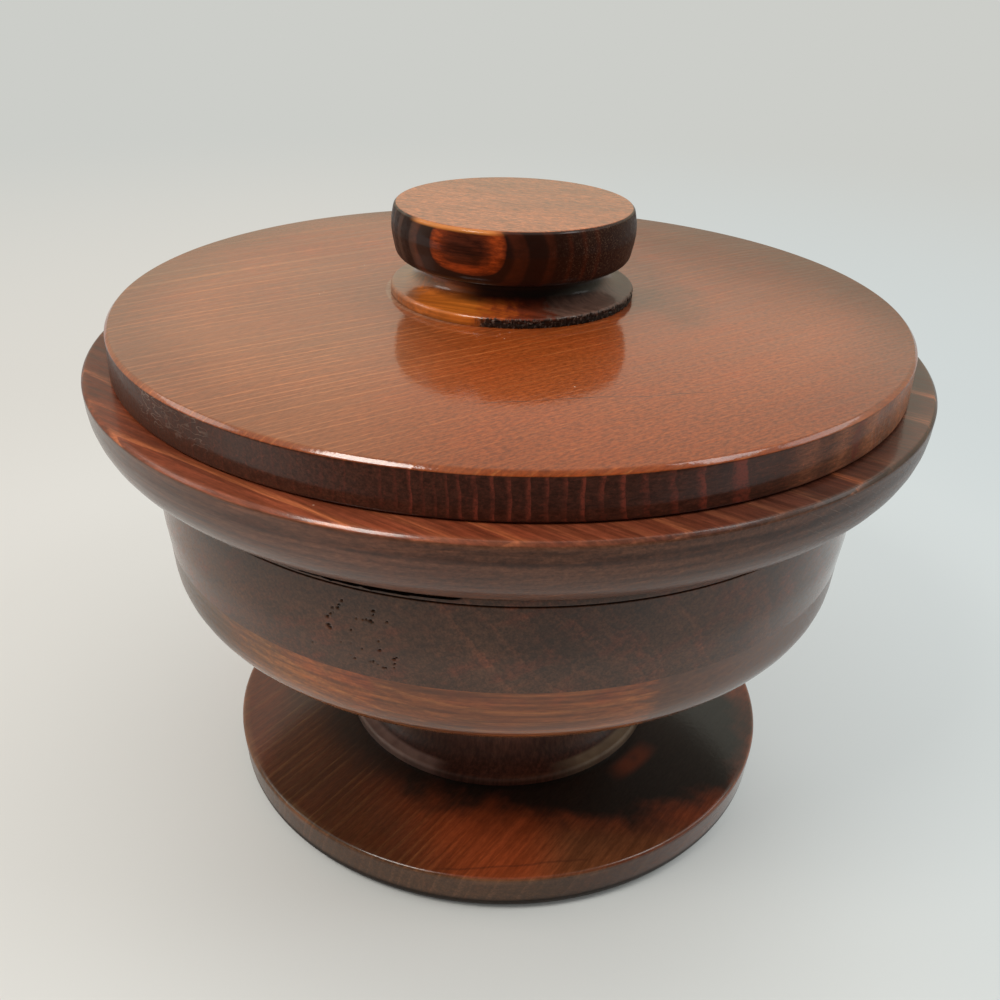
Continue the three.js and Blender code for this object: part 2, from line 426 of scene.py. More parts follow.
PIT_HALF_HEIGHT = 0.25
PIT_DEPTH = 0.45
PIT_JITTER = 0.3
PIT_SIZES = (0.65, 1.25)
PIT_DIRT = -2.2
JOINT_DIRT_AND_SHADE = -2.5
RAGGED_SHARE = 0.25
RAGGED_WAVES = 40
WALL_SKIN = 2.0
rng = np.random.default_rng(11)


def placed_pits():
    """Spreads each row's pits along it and nudges them. Rows of azimuth in radians, level and size."""
    pits = []
    for start, level, end, end_level, count, size in PIT_ROWS:
        for share in np.linspace(0, 1, count):
            nudge = rng.normal(0, PIT_JITTER, 2)
            place = math.radians(start + (end - start) * share) + nudge[0] / wall_radius
            height = level + (end_level - level) * share + nudge[1]
            pits.append((place, height, size * rng.uniform(*PIT_SIZES)))
    return pits


def weathered_wall(radius, height, wear, azimuth):
    """Opens the joint on the left and presses the pits into the wall."""
    course = np.array(OPEN_JOINT_COURSE)
    ragged = np.array([[noise.noise(Vector((angle * RAGGED_WAVES, 0, 0))) for angle in azimuth[0]]])
    open_share = np.interp(np.degrees(azimuth), course[:, 0], course[:, 1])
    open_share = open_share * (1 + RAGGED_SHARE * ragged)
    near_face = np.clip(1 - (wall_radius - radius) / OPEN_JOINT_DEPTH, 0, 1) ** 0.3
    cut_level = wall_top - OPEN_JOINT_DROP * open_share * near_face
    cut_away = (height > cut_level + 0.02) & (radius > wall_radius - OPEN_JOINT_DEPTH)
    height = np.where(cut_away, cut_level, height)
    # The open joint's face is painted dark, with dirt and shade.
    wear = np.where(cut_away, np.minimum(wear, JOINT_DIRT_AND_SHADE * np.clip(open_share * 3, 0, 1)), wear)
    outside = radius > wall_radius - WALL_SKIN
    for place, level, size in placed_pits():
        along = (azimuth - place) * wall_radius / (PIT_HALF_LENGTH * size)
        pressed = np.exp(-along ** 2 - ((height - level) / (PIT_HALF_HEIGHT * size)) ** 2) * outside
        radius = radius - PIT_DEPTH * pressed
        wear = np.where(pressed > 0.2, np.minimum(wear, PIT_DIRT * pressed), wear)
    return radius, height, wear


print(f"{sum(row[4] for row in PIT_ROWS)} pits, and a joint that opens by {OPEN_JOINT_DROP} mm")

# %% Bowl wall
MOUTH_FLARE = 1.5
SWELL_HEIGHT = 9.0
SWELL_ROUNDING = 45.0
BAND_HEIGHT = 1.7
GROOVE_DEPTH = 0.4
GROOVE_WIDTH = 0.5
WALL_FINE_FROM = 98.0
WALL_FINE_STRETCH = 0.3
groove_top = wall_top - BAND_HEIGHT
groove_bottom = groove_top - GROOVE_WIDTH
mouth_radius = inside_radius + MOUTH_FLARE
seam_radius = inside_radius + MOUTH_FLARE * (wall_top - wall_bottom) / (rim_top - wall_bottom)

bowl_wall = turned("bowl_wall_ring", [
    (inside_radius, board_joint),
    (base_radius, board_joint),
    (wall_radius, wall_bottom + SWELL_HEIGHT, SWELL_ROUNDING),
    (wall_radius, groove_bottom, 0.1),
    (wall_radius - GROOVE_DEPTH, (groove_top + groove_bottom) / 2, 0, -1.2),
    (wall_radius, groove_top, 0.1),
    (wall_radius, wall_top, 0.2, -0.5),
    (seam_radius, wall_top),
], count=270, closed=True, dense=(-30, -11, 150), shape=weathered_wall,
    fine=(WALL_FINE_FROM, WALL_FINE_STRETCH))

# %% Bowl rim
RIM_DRAFT = 0.7
RIM_ROLL_HEIGHT = 9.3
RIM_ROLL_ROUNDING = 22.0
RIM_LIP_REACH = 0.6
RIM_BEVEL = 0.9
RIM_BEVEL_ROUNDING = 0.8
RIM_MOUTH_ROUNDING = 1.0
rim_seat = rim_bottom - SQUEEZED_GLUE

bowl_rim = turned("bowl_rim_ring", [
    (seam_radius, rim_seat),
    (wall_radius + RIM_LIP_REACH, rim_seat, 0.35, -0.3),
    (rim_radius - RIM_DRAFT, rim_bottom + RIM_ROLL_HEIGHT, RIM_ROLL_ROUNDING),
    (rim_radius, rim_top - RIM_BEVEL, RIM_BEVEL_ROUNDING, 0.5),
    (rim_radius - RIM_BEVEL, rim_top, RIM_BEVEL_ROUNDING, 0.6),
    (mouth_radius, rim_top, RIM_MOUTH_ROUNDING, 0.5),
], count=400, closed=True)

# %% [markdown]
# ## The lid
# A board with a low dome, and a plain disc glued under it that drops into the mouth. An arc
# would swell evenly from edge to collar. The real board rises sooner and is level at the
# collar, which a curve with two handles can follow. The board's two edges are only just
# broken, so they carry the brightest thin highlights.

# %% Lid board
LID_EDGE = 11.4
LID_BEVEL = 1.0
LID_BEVEL_ROUNDING = 0.7
LID_LOWER_ROUNDING = 0.8
LID_DOME_FULLNESS = 0.82
COLLAR_RADIUS = 33.6
KNOB_TENON_RADIUS = 9.0
KNOB_TENON_LENGTH = 9.0
knob_seat = lid_top + GLUE
knob_mortise_depth = KNOB_TENON_LENGTH + MORTISE_GAP
dome_rim = (lid_radius - LID_BEVEL, lid_bottom + LID_EDGE)
dome_run = dome_rim[0] - COLLAR_RADIUS
dome_rise = lid_top - dome_rim[1]
dome_pull = (dome_rim[0] - dome_run / 3, dome_rim[1] + dome_rise * LID_DOME_FULLNESS)
dome_lead = (COLLAR_RADIUS + dome_run / 3, lid_top)
dome = bent(dome_rim, dome_pull, dome_lead, (COLLAR_RADIUS, lid_top), steps=20)

lid_board = turned("lid_board_disc", [
    (0, lid_bottom),
    (lid_radius, lid_bottom, LID_LOWER_ROUNDING, 0.3),
    (lid_radius, lid_bottom + LID_EDGE - LID_BEVEL, LID_BEVEL_ROUNDING, 0.5),
    (*dome_rim, LID_BEVEL_ROUNDING, 0.6),
    *dome[1:-1],
    (COLLAR_RADIUS, lid_top, 0, -0.4),
    (KNOB_TENON_RADIUS + MORTISE_GAP, lid_top),
    (KNOB_TENON_RADIUS + MORTISE_GAP, lid_top - knob_mortise_depth),
    (0, lid_top - knob_mortise_depth),
], count=400)

# %% Locating disc
DISC_ROUNDING = 1.5

locating_disc = turned("lid_disc", [
    (0, disc_bottom),
    (disc_radius, disc_bottom, DISC_ROUNDING, 0.8),
    (disc_radius, lid_bottom - SQUEEZED_GLUE),
    (0, lid_bottom - SQUEEZED_GLUE),
])

# %% [markdown]
# ## The knob
# A mushroom on a collar. Where the gouge ran against the grain, on the right, it tore the
# collar's lower edge. A bump in the material would leave that edge a clean line, so a noise
# along the azimuth eats into the radius there. The same points are marked as dirty, because
# stain fills torn fibres and turns them black.

# %% Torn collar
TORN_START = -20.0
TORN_FULL = -6.0
TORN_FADE = 80.0
TORN_END = 100.0
TORN_HEIGHT = 1.75
TORN_DEPTH = 0.6
BITE_LENGTH = 0.9
TORN_DIRT = -0.85
NECK_RADIUS = 25.0
COLLAR_EDGE = 2.4
COLLAR_ROUNDING = 1.1


def torn_collar(radius, height, wear, azimuth):
    """Tears the lower edge of the collar where the gouge cut against the grain."""
    share = np.interp(np.degrees(azimuth), (TORN_START, TORN_FULL, TORN_FADE, TORN_END), (0, 1, 1, 0))
    low = (height < knob_seat + COLLAR_EDGE) & (radius > NECK_RADIUS + 1) & (share > 0)
    for row, column in zip(*np.nonzero(low)):
        around = azimuth[row, column] * COLLAR_RADIUS / BITE_LENGTH
        jag = noise.noise(Vector((around, 0, 3))) + 0.6 * noise.noise(Vector((around * 2.6, 0, 8)))
        depth_below = knob_seat + TORN_HEIGHT + jag - height[row, column]
        if depth_below < 0:
            continue
        bite = 0.25 + abs(noise.noise(Vector((around, height[row, column] * 2, 0)))) * 1.5
        radius[row, column] -= TORN_DEPTH * min(1, bite) * min(1, depth_below * 3) * share[row, column]
        if height[row, column] < knob_seat + COLLAR_EDGE - COLLAR_ROUNDING:
            wear[row, column] = min(wear[row, column], TORN_DIRT * share[row, column])
    return radius, height, wear


print(f"the collar is torn from {TORN_START:.0f} to {TORN_END:.0f} degrees, {TORN_DEPTH} mm deep at most")

# %% Knob
COLLAR_COVE = 5.2
NECK_LENGTH = 1.3
NECK_ROUNDING = 0.9
GRIP_UNDERSIDE_RISE = 0.9
GRIP_LOWER_RADIUS = 31.8
GRIP_LOWER_ROUNDING = 3.0
GRIP_SWELL_HEIGHT = 8.8
GRIP_SWELL_ROUNDING = 16.0
GRIP_TOP_RADIUS = 32.4
GRIP_BEVEL = 0.6
GRIP_BEVEL_ROUNDING = 0.6
KNOB_FINE_STRETCH = 0.5
collar_seat = lid_top + SQUEEZED_GLUE
collar_top = knob_seat + COLLAR_EDGE
neck_foot = collar_top + COLLAR_COVE
neck_top = neck_foot + NECK_LENGTH
grip_bottom = neck_top + GRIP_UNDERSIDE_RISE

lid_knob = turned("knob", [
    (0, knob_bottom),
    (KNOB_TENON_RADIUS, knob_bottom, 0.8),
    (KNOB_TENON_RADIUS, collar_seat),
    (COLLAR_RADIUS, collar_seat, 0, -0.8),
    (COLLAR_RADIUS, collar_top, COLLAR_ROUNDING, 0.6),
    *cove((COLLAR_RADIUS - COLLAR_ROUNDING, collar_top), (NECK_RADIUS, neck_foot))[1:],
    (NECK_RADIUS, neck_top, NECK_ROUNDING, -1.3),
    (GRIP_LOWER_RADIUS, grip_bottom, GRIP_LOWER_ROUNDING, -0.2),
    (knob_radius, grip_bottom + GRIP_SWELL_HEIGHT, GRIP_SWELL_ROUNDING),
    (GRIP_TOP_RADIUS, knob_top - GRIP_BEVEL, GRIP_BEVEL_ROUNDING, 0.8),
    (GRIP_TOP_RADIUS - GRIP_BEVEL, knob_top, GRIP_BEVEL_ROUNDING, 0.8),
    (0, knob_top),
], count=440, shape=torn_collar, fine=(NECK_RADIUS - 1, KNOB_FINE_STRETCH))

# %% [markdown]
# ## Wood, as a solid
# A picture of wood wrapped round a turned piece never looks right: the lines on the top of
# the lid have to turn down over its edge and become stripes there. So the grain is worked
# out in three dimensions, from the place of each point in its board. Growth rings are
# shells round a distant pith, cut by whatever surface the lathe left. This softwood was
# stained, which turns its contrast round: the soft early wood drinks the stain and goes
# dark, and the hard late wood stays as thin, lighter, redder lines. End grain drinks most.

# %% [markdown]
# ## Nodes, written as sums
# Such a material is a long sum, and one that is wired by hand, node by node, is hard to
# read. So what comes out of a node is wrapped in a small class here, and can be added,
# multiplied or passed on like a number. Every sign and every call adds the node that works
# it out. A share runs from 0 to 1, and says how much of a mark is seen at a place.

# %% Values
class Value:
    """What one output of a node gives: a number, a vector, a colour or a shader."""

    def __init__(self, bench, socket):
        self.bench = bench
        self.socket = socket

    def __add__(self, other):
        return self.bench.math("ADD", self, other)

    def __sub__(self, other):
        return self.bench.math("SUBTRACT", self, other)

    def __rsub__(self, other):
        return self.bench.math("SUBTRACT", other, self)

    def __mul__(self, other):
        return self.bench.math("MULTIPLY", self, other)

    def __truediv__(self, other):
        return self.bench.math("DIVIDE", self, other)

    def __pow__(self, other):
        return self.bench.math("POWER", self, other)

    def __abs__(self):
        return self.bench.math("ABSOLUTE", self)

    def greater(self, other):
        """The greater of two numbers."""
        return self.bench.math("MAXIMUM", self, other)

    def clamped(self):
        """The number, held between 0 and 1."""
        return self.bench.math("ADD", self, 0.0, clamp=True)

    def spread(self, low, high, to_low=0.0, to_high=1.0):
        """Takes low..high smoothly to to_low..to_high, and holds it at both ends."""
        pairs = {"Value": self, "From Min": low, "From Max": high, "To Min": to_low, "To Max": to_high}
        return self.bench.add("ShaderNodeMapRange", pairs, interpolation_type="SMOOTHSTEP")["Result"]

    def band(self, low, high, soft):
        """1 between low and high, falling to 0 over soft outside them."""
        return self.spread(low - soft, low) * self.spread(high, high + soft, 1, 0)

    def sector(self, start, full, end=140.0, gone=176.0):
        """Of an azimuth: 0 before start, 1 from full to end, 0 again at the back, to show no seam."""
        side = 1 if full > start else -1
        return self.spread(start, full) * self.spread(side * end, side * gone, 1, 0)

    def ramp(self, course):
        """Looks a number up in a given course of greys or colours."""
        low, high = course[0][0], course[-1][0]
        tone = self.bench.add("ShaderNodeValToRGB", {0: (self - low) / (high - low)})["Color"]
        elements = tone.socket.node.color_ramp.elements
        while len(elements) < len(course):
            elements.new(0.5)
        for element, (place, colour) in zip(elements, course):
            element.position = (place - low) / (high - low)
            element.color = (*colour, 1) if isinstance(colour, tuple) else (colour, colour, colour, 1)
        return tone

    def blend(self, first, second):
        """Goes from the first colour to the second by this share."""
        return self.bench.mixed(self, first, second)

    def shade(self, colour):
        """Multiplies a colour by this grey."""
        return self.bench.mixed(1.0, colour, self, "MULTIPLY")

    def tint(self, colour, factor):
        """Multiplies a colour by another, but only by this share."""
        return self.blend(colour, self.bench.mixed(1.0, colour, factor, "MULTIPLY"))

    def mottle(self, colour, low, high):
        """Shades a colour by this noise, by low where it is weak up to high where it is strong."""
        return self.spread(0.3, 0.7, low, high).shade(colour)

    def between(self, first, second):
        """Goes from the first shader to the second by this share."""
        return self.bench.add("ShaderNodeMixShader", {0: self, 1: first, 2: second})[0]

    def parts(self):
        """The x, y and z of a vector."""
        outputs = self.bench.add("ShaderNodeSeparateXYZ", {0: self})
        return outputs[0], outputs[1], outputs[2]

    def dot(self, direction):
        """How far a vector reaches in a direction."""
        return self.bench.vector("DOT_PRODUCT", self, tuple(direction))

    def length(self):
        """The length of a vector."""
        return self.bench.vector("LENGTH", self)

    def outward(self, centre, reaches):
        """Distance in plan, counted so that 1 lies on an ellipse of the given reaches."""
        offset = self.bench.vector("SUBTRACT", self, (*centre, 0))
        return self.bench.vector("MULTIPLY", offset, (1 / reaches[0], 1 / reaches[1], 0)).length()

    def noise(self, scale=1.0, detail=2.0, roughness=0.5):
        """A soft noise at this place. A pair of scales draws it out in one direction."""
        place = self
        if isinstance(scale, tuple):
            place = self.bench.vector("MULTIPLY", self, (*scale, 1))
            scale = 1.0
        pairs = {"Vector": place, "Scale": scale, "Detail": detail, "Roughness": roughness}
        return self.bench.add("ShaderNodeTexNoise", pairs)["Fac"]


# %% Bench
class Bench:
    """The node tree of a material or world, on which values are put together."""

    def __init__(self, owner):
        owner.use_nodes = True
        self.tree = owner.node_tree
        self.tree.nodes.clear()

    def feed(self, socket, value):
        """Links a value to an input, or sets a constant there."""
        if isinstance(value, Value):
            self.tree.links.new(value.socket, socket)
        elif socket.type == "RGBA":
            socket.default_value = (*value, 1.0)
        else:
            socket.default_value = value

    def add(self, kind, inputs=(), **settings):
        """Adds a node and feeds it. Its outputs come back by number and by name."""
        node = self.tree.nodes.new(kind)
        for key, value in settings.items():
            setattr(node, key, value)
        for key, value in dict(inputs).items():
            self.feed(node.inputs[key], value)
        outputs = {}
        for number, socket in enumerate(node.outputs):
            outputs[number] = outputs[socket.name] = Value(self, socket)
        return outputs

    def math(self, operation, *values, clamp=False):
        """Any sum of plain numbers."""
        return self.add("ShaderNodeMath", enumerate(values), operation=operation, use_clamp=clamp)[0]

    def vector(self, operation, *values):
        """Any sum of vectors, which gives a vector or a number."""
        outputs = self.add("ShaderNodeVectorMath", enumerate(values), operation=operation)
        return outputs["Value" if operation in ("DOT_PRODUCT", "LENGTH") else "Vector"]

    def combine(self, *values):
        """A vector made of up to three numbers."""
        return self.add("ShaderNodeCombineXYZ", enumerate(values))[0]

    def mixed(self, share, first, second, kind="MIX"):
        """Two colours, mixed or multiplied by a share."""
        inputs = {0: share, 6: first, 7: second}
        return self.add("ShaderNodeMix", inputs, data_type="RGBA", blend_type=kind)[2]


# %% [markdown]
# ## Knowing the place on the piece
# Stain patches, scuffs and dust sit at certain places of a certain piece. To aim them, every
# material first works out where it is: radius, azimuth and level, as on the lathe, and how
# far the surface faces up. All of it comes from the object's own coordinates, so it stays
# with the piece when the lid is lifted.

# %% Survey
TOP_SLOPE = (0.6, 0.9)  # how far up a surface faces where it starts to be a top, and is one
SIDE_SLOPE = (0.5, 0.2)  # and the same for a side


def survey(bench):
    """Where a point lies on the turned piece, in millimetres and degrees."""
    coordinates = bench.add("ShaderNodeTexCoord")
    place = bench.vector("MULTIPLY", coordinates["Object"], (1 / MM, 1 / MM, 1 / MM))
    x, y, level = place.parts()
    radius = bench.combine(x, y).length()
    azimuth = bench.math("DEGREES", bench.math("ARCTAN2", x, y * -1.0))
    normal = coordinates["Normal"]
    unrolled = bench.combine(bench.math("RADIANS", azimuth) * radius, level)
    up = normal.parts()[2]
    return SimpleNamespace(bench=bench, place=place, x=x, y=y, level=level, radius=radius,
                           azimuth=azimuth, unrolled=unrolled, normal=normal, up=up,
                           top=up.spread(*TOP_SLOPE), side=up.spread(*SIDE_SLOPE))


# %% [markdown]
# ## How a board was cut and stained
# `board` says how the piece was cut from the tree: which way the grain runs, which way lies
# across the rings, how far apart they are and how restless. `stain` says how each kind of
# wood took the colour. Most boards of this bowl are alike, so what a plain board does is
# written once, and each piece names only where it differs.

# %% Plain board and stain
PLAIN_BOARD = dict(
    spacing=3.0,  # millimetres from ring to ring
    tighten=0.0,  # how fast the rings draw together away from the pith
    bend=0.0,  # curve of the rings along the trunk
    waves=8.0,  # how far slow waves push the rings, in millimetres
    ripples=1.2,  # how far quick ones do
    pith=300.0,  # how far away the pith is
    uneven=2.0,  # how much the rings differ in width
    line_from=0.58,  # where in a ring the late wood starts
    faintest=0.35,  # the strength of the faintest line
    sparse=1.0,  # above 1, fewer lines are strong
    fibre=0.3,  # contrast of the coarse fibres
    grit=0.16,  # contrast of the fine ones
    patches=0.22,  # contrast of the broad patches
    warmth=0.3,  # how much of the warm tint the clouds bring
    end_from=0.2,  # how far across the fibres a cut has to go to count as end grain
    end_to=0.8,  # and to be nothing else
    end_lines=1.0,  # how much of the lines is left there
    thirst=0.5,  # how much varnish end grain drinks
    rubbed=0.25,  # how bare the rubbed edges are
    tool=0.2,  # height of the tool marks, as a share of the relief
    relief=0.03,  # height of the wood's relief, in millimetres
    coat=1.0,  # how much varnish there is
    coat_roughness=0.12,
    coat_relief=0.022,  # height of the varnish's own relief, in millimetres
    under_gloss=0.1,  # gloss of the wood under the varnish
)
PLAIN_STAIN = dict(warm=(1.45, 0.95, 0.7), dirt=(0.010, 0.006, 0.004), worn=(0.45, 0.18, 0.08))
print(f"a plain board: {len(PLAIN_BOARD)} values for its cut and varnish, {len(PLAIN_STAIN)} for its stain")

# %% [markdown]
# ## Grain
# The rings are a distance from the pith, bent along the trunk and shaken by two sizes of
# noise. Each ring draws its own luck, so some lines are strong and others faint. Fibres are
# long thin streaks, seen end on as a fine speckle: a noise squeezed along the grain gives
# both. How far a surface cuts across the fibres runs from 0, along a plank's side, to 1.

# %% Grain
# Each pattern: waves in a millimetre along the grain and across it, and where it starts.
SLOW_WAVES = (0.007, 0.02, 3.1)
QUICK_WAVES = (0.03, 0.11, 7.7)
COARSE_FIBRES = (0.035, 0.9, 1.3)
FINE_FIBRES = (0.4, 1.9, 5.9)
BROAD_FIGURE = (0.018, 0.034, 9.2)
CLOUD_SCALE = 0.06
UNEVEN_SCALE = 0.13
LINE_TO = 0.9  # where in a ring its line is strongest
LINE_FADE = 0.94  # and where it starts to fade


def board_place(node, board, spot):
    """Adds where a point lies in its board: u along the grain, v across the rings, w beside both."""
    grain = Vector(board.grain).normalized()
    across = Vector(board.across).normalized()
    across = (across - grain * across.dot(grain)).normalized()
    low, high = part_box(node)
    middle = (low + high) / 2 / MM
    inner = spot.bench.vector("SUBTRACT", spot.place, tuple(middle))
    spot.u, spot.v, spot.w = (inner.dot(axis) for axis in (grain, across, grain.cross(across)))
    spot.cut = abs(spot.normal.dot(grain))
    spot.end_grain = spot.cut.spread(board.end_from, board.end_to)


def stretched(spot, along, sideways, start):
    """The point in board directions, squeezed along the grain, as a noise wants it."""
    return spot.bench.combine(spot.u * along, spot.v * sideways, spot.w * sideways + start)


def ring_lines(board, spot):
    """The late wood of the rings: a thin line in each, strong or faint by luck."""
    bench = spot.bench
    waves = stretched(spot, *SLOW_WAVES).noise(detail=1.0) - 0.5
    ripples = stretched(spot, *QUICK_WAVES).noise() - 0.5
    shaken = spot.v + spot.u * spot.u * board.bend + waves * board.waves + ripples * board.ripples
    depth = bench.combine(shaken + board.pith, spot.w).length() - board.pith
    uneven = bench.combine(depth).noise(UNEVEN_SCALE, 1.0) - 0.5
    ring = depth * (depth * board.tighten + 1 / board.spacing) + uneven * board.uneven
    number = bench.math("FLOOR", ring)
    luck = bench.add("ShaderNodeTexWhiteNoise", {"W": number}, noise_dimensions="1D")["Value"]
    strength = luck ** board.sparse * (1 - board.faintest) + board.faintest
    phase = bench.math("FRACT", ring)
    return phase.spread(board.line_from, LINE_TO) * phase.spread(LINE_FADE, 1.0, 1, 0) * strength


def grown(board, spot):
    """Adds fibres, broad figure, clouds and the lines of the rings to what is known of a point."""
    spot.coarse = stretched(spot, *COARSE_FIBRES).noise(detail=3.0, roughness=0.6)
    spot.fine = stretched(spot, *FINE_FIBRES).noise(detail=3.0, roughness=0.7)
    spot.figure = stretched(spot, *BROAD_FIGURE).noise(detail=3.0, roughness=0.55)
    spot.cloud = spot.place.noise(CLOUD_SCALE, 3.0, 0.6)
    kept = spot.cut.spread(board.end_to - 0.2, board.end_to, 1, board.end_lines)
    spot.line = ring_lines(board, spot) * spot.coarse.spread(0.3, 0.6, 0.6, 1.0) * kept


# %% [markdown]
# ## Stain, wear and varnish
# The stain colours early and late wood, along the side and on end grain. Rubbed edges then
# show lighter wood in patches, and corners keep dark stain. A piece can add marks of its own
# before the varnish goes on. The varnish is a coat over it, a little uneven, and thinner
# where end grain has drunk it. Fibres, rings and tool marks stand up through it by a few
# hundredths of a millimetre.

# %% Stain and varnish
BASE_ROUGHNESS = 0.45
COAT_IOR = 1.5
DIRTIEST = -1.6  # the wear of a corner that couldn't be dirtier
RELIEF_IN_COAT = 0.35
ORANGE_PEEL = 0.75
TOOL_MARKS = 1.3


def stained(board, stain, spot):
    """The colour that the stain gave the wood."""
    early = spot.end_grain.blend(stain.early, stain.end_early)
    late = spot.end_grain.blend(stain.late, stain.end_late)
    fleck = spot.coarse.spread(0.34, 0.68, 1 - board.fibre, 1 + 0.6 * board.fibre)
    grit = spot.fine.spread(0.3, 0.7, 1 - board.grit, 1 + board.grit)
    patches = spot.figure.spread(0.3, 0.7, 1 - board.patches, 1 + board.patches)
    colour = (fleck * grit * patches).shade(spot.line.blend(early, late))
    return spot.cloud.spread(0.45, 0.75, 0.0, board.warmth).tint(colour, stain.warm)


def bumped(bench, height, millimetres):
    """A normal that lets a height stand up by so many millimetres."""
    return bench.add("ShaderNodeBump", {"Height": height, "Distance": millimetres * MM})[0]


def varnished(board, spot, colour, coat, dirt):
    """The finished surface: wood with its relief under a coat with a weaker one."""
    tool = spot.bench.combine(spot.radius, spot.level).noise(TOOL_MARKS)
    relief = spot.coarse * 0.8 + spot.fine * 0.5 + spot.line * 0.5 + tool * board.tool
    coat_height = relief * RELIEF_IN_COAT + spot.place.noise(ORANGE_PEEL)
    roughness = spot.coarse.spread(0.3, 0.7, BASE_ROUGHNESS - 0.07, BASE_ROUGHNESS + 0.1)
    shader = spot.bench.add("ShaderNodeBsdfPrincipled", {
        "Base Color": colour,
        "Roughness": (roughness + dirt * 0.3).clamped(),
        "Specular IOR Level": board.under_gloss,
        "Normal": bumped(spot.bench, relief, board.relief),
        "Coat Weight": coat,
        "Coat Roughness": board.coat_roughness,
        "Coat IOR": COAT_IOR,
        "Coat Normal": bumped(spot.bench, coat_height, board.coat_relief),
    })
    spot.bench.add("ShaderNodeOutputMaterial", {"Surface": shader[0]})


# %% Wood
def wood(node, board, stain, marks=None):
    """Varnished softwood for one piece of the frame."""
    board = SimpleNamespace(**{**PLAIN_BOARD, **board})
    stain = SimpleNamespace(**{**PLAIN_STAIN, **stain})
    material = bpy.data.materials.new(node + "_wood")
    spot = survey(Bench(material))
    board_place(node, board, spot)
    grown(board, spot)
    wear = spot.bench.add("ShaderNodeAttribute", attribute_name="wear")["Fac"]
    rubbed = wear.spread(0.0, 1.0) * spot.cloud.spread(0.42, 0.66) * board.rubbed
    dirt = wear.spread(0.0, DIRTIEST, 0.0, 0.95)
    colour = rubbed.blend(stained(board, stain, spot), stain.worn)
    coat = (1.0 - spot.end_grain * board.thirst) * board.coat
    if marks is not None:
        colour, coat = marks(spot, colour, coat)
    colour = dirt.blend(colour, stain.dirt)
    coat = (coat * (1.0 - dirt * 0.8)).clamped()
    varnished(board, spot, colour, coat, dirt)
    print(f"{material.name}: rings {board.spacing} mm apart, {len(material.node_tree.nodes)} nodes")
    return material


# %% [markdown]
# ## Directions of the grain
# Each board was cut its own way, and the photograph shows how. Lines across the lid that
# turn down over its edge mean rings on edge. Long, nearly level streaks round the rim mean a
# board that lies almost flat to them. A direction in plan is written as its angle from +X.

# %% Plan directions
def plan(angle, rise=0.0):
    """A direction in plan, angle degrees from +X towards +Y, with an upward part."""
    return (math.cos(math.radians(angle)), math.sin(math.radians(angle)), rise)


print("30 degrees in plan:", [round(value, 3) for value in plan(30)])

# %% [markdown]
# ## Scratches and specks
# Two small marks turn up on more than one piece. A hairline scratch is a thin band about a
# slanted line, and wavers a little. Specks of dust lie in a few cells of a Voronoi pattern,
# which keeps them apart.

# %% Scratches and specks
SCRATCH_WAVER = 3.0


def hairline(spot, start, end, half_width, soft, fade):
    """A wavering scratch from one place in plan to another, fading out past both ends."""
    start, end = Vector(start), Vector(end)
    length = (end - start).length
    ahead = (end - start) / length
    offset = spot.bench.vector("SUBTRACT", spot.place, (*start, 0))
    aside = offset.dot((-ahead.y, ahead.x, 0)) + (spot.cloud - 0.5) * SCRATCH_WAVER
    return aside.band(-half_width, half_width, soft) * offset.dot((*ahead, 0)).band(0, length, fade)


def specks(spot, scale, least, size):
    """Small round specks in those cells of a Voronoi pattern whose luck is above least."""
    cells = spot.bench.add("ShaderNodeTexVoronoi", {"Vector": spot.place, "Scale": scale})
    luck = spot.bench.add("ShaderNodeSeparateColor", {0: cells["Color"]})[0]
    near = cells["Distance"].spread(0.55 * size, size, 1, 0)
    return near * spot.bench.math("GREATER_THAN", luck, least)


# %% [markdown]
# ## The lid board
# Rings on edge, so its face has close parallel lines, which sink into a fine grit towards the
# front right. Stain pooled in a grey-purple patch behind the knob's right side, a hairline
# scratch crosses the front, and polish and dust have dried in a pale line round the collar's
# left. Its edge is darker, with red stripes where the rings come out, and it has lost its
# gloss at both sides. Such marks could be painted on an image, but an image has a seam and
# goes soft from close by. Worked out from the place on the piece, they have neither fault.
# Every mark here and on the other pieces has its places as values: (start, full) where it
# comes in to one side, (start, full, end, gone) where it also stops, and (from, to, soft
# edge) for a band.

# %% Lid face
LID_GRAIN = 36
GRIT_SCALE = 1.6
GRIT_STRETCH = 0.4
CALM_WAY = plan(-50)
CALM_FRONT = (14, 68)
CALM_BROWN = (0.305, 0.070, 0.0138)
PATCH_PLACE = (43.0, -6.0)
PATCH_REACH = (13.0, 20.0)
PATCH_FADE = (1.1, 2.2)
PATCH_TINT = (0.45, 0.62, 1.0)
BACK_TINT = (0.40, 0.36, 0.40)
LID_SHEEN_LEFT = (0, -45)
LID_SHEEN_BACK = (40, 10)
LID_SHEEN_FRONT = (-5, -55)
LID_SHEEN_TAN = (0.33, 0.125, 0.046)
MARGIN_RADII = (lid_radius - 20, lid_radius + 6)
MARGIN_FRONT = (-95, -55)
MARGIN_TINT = (0.62, 0.62, 0.66)
HAIRLINE_START = (-6.0, -79.8)
HAIRLINE_END = (42.0, -70.0)
HAIRLINE_DARK = (0.05, 0.02, 0.012)
SPECK_PALE = (0.75, 0.6, 0.45)
DUST_RADII = (COLLAR_RADIUS + 0.2, COLLAR_RADIUS + 1.0, 0.7)
DUST_AZIMUTHS = (-105, -35, 25)
DUST_COLOUR = (0.40, 0.27, 0.17)


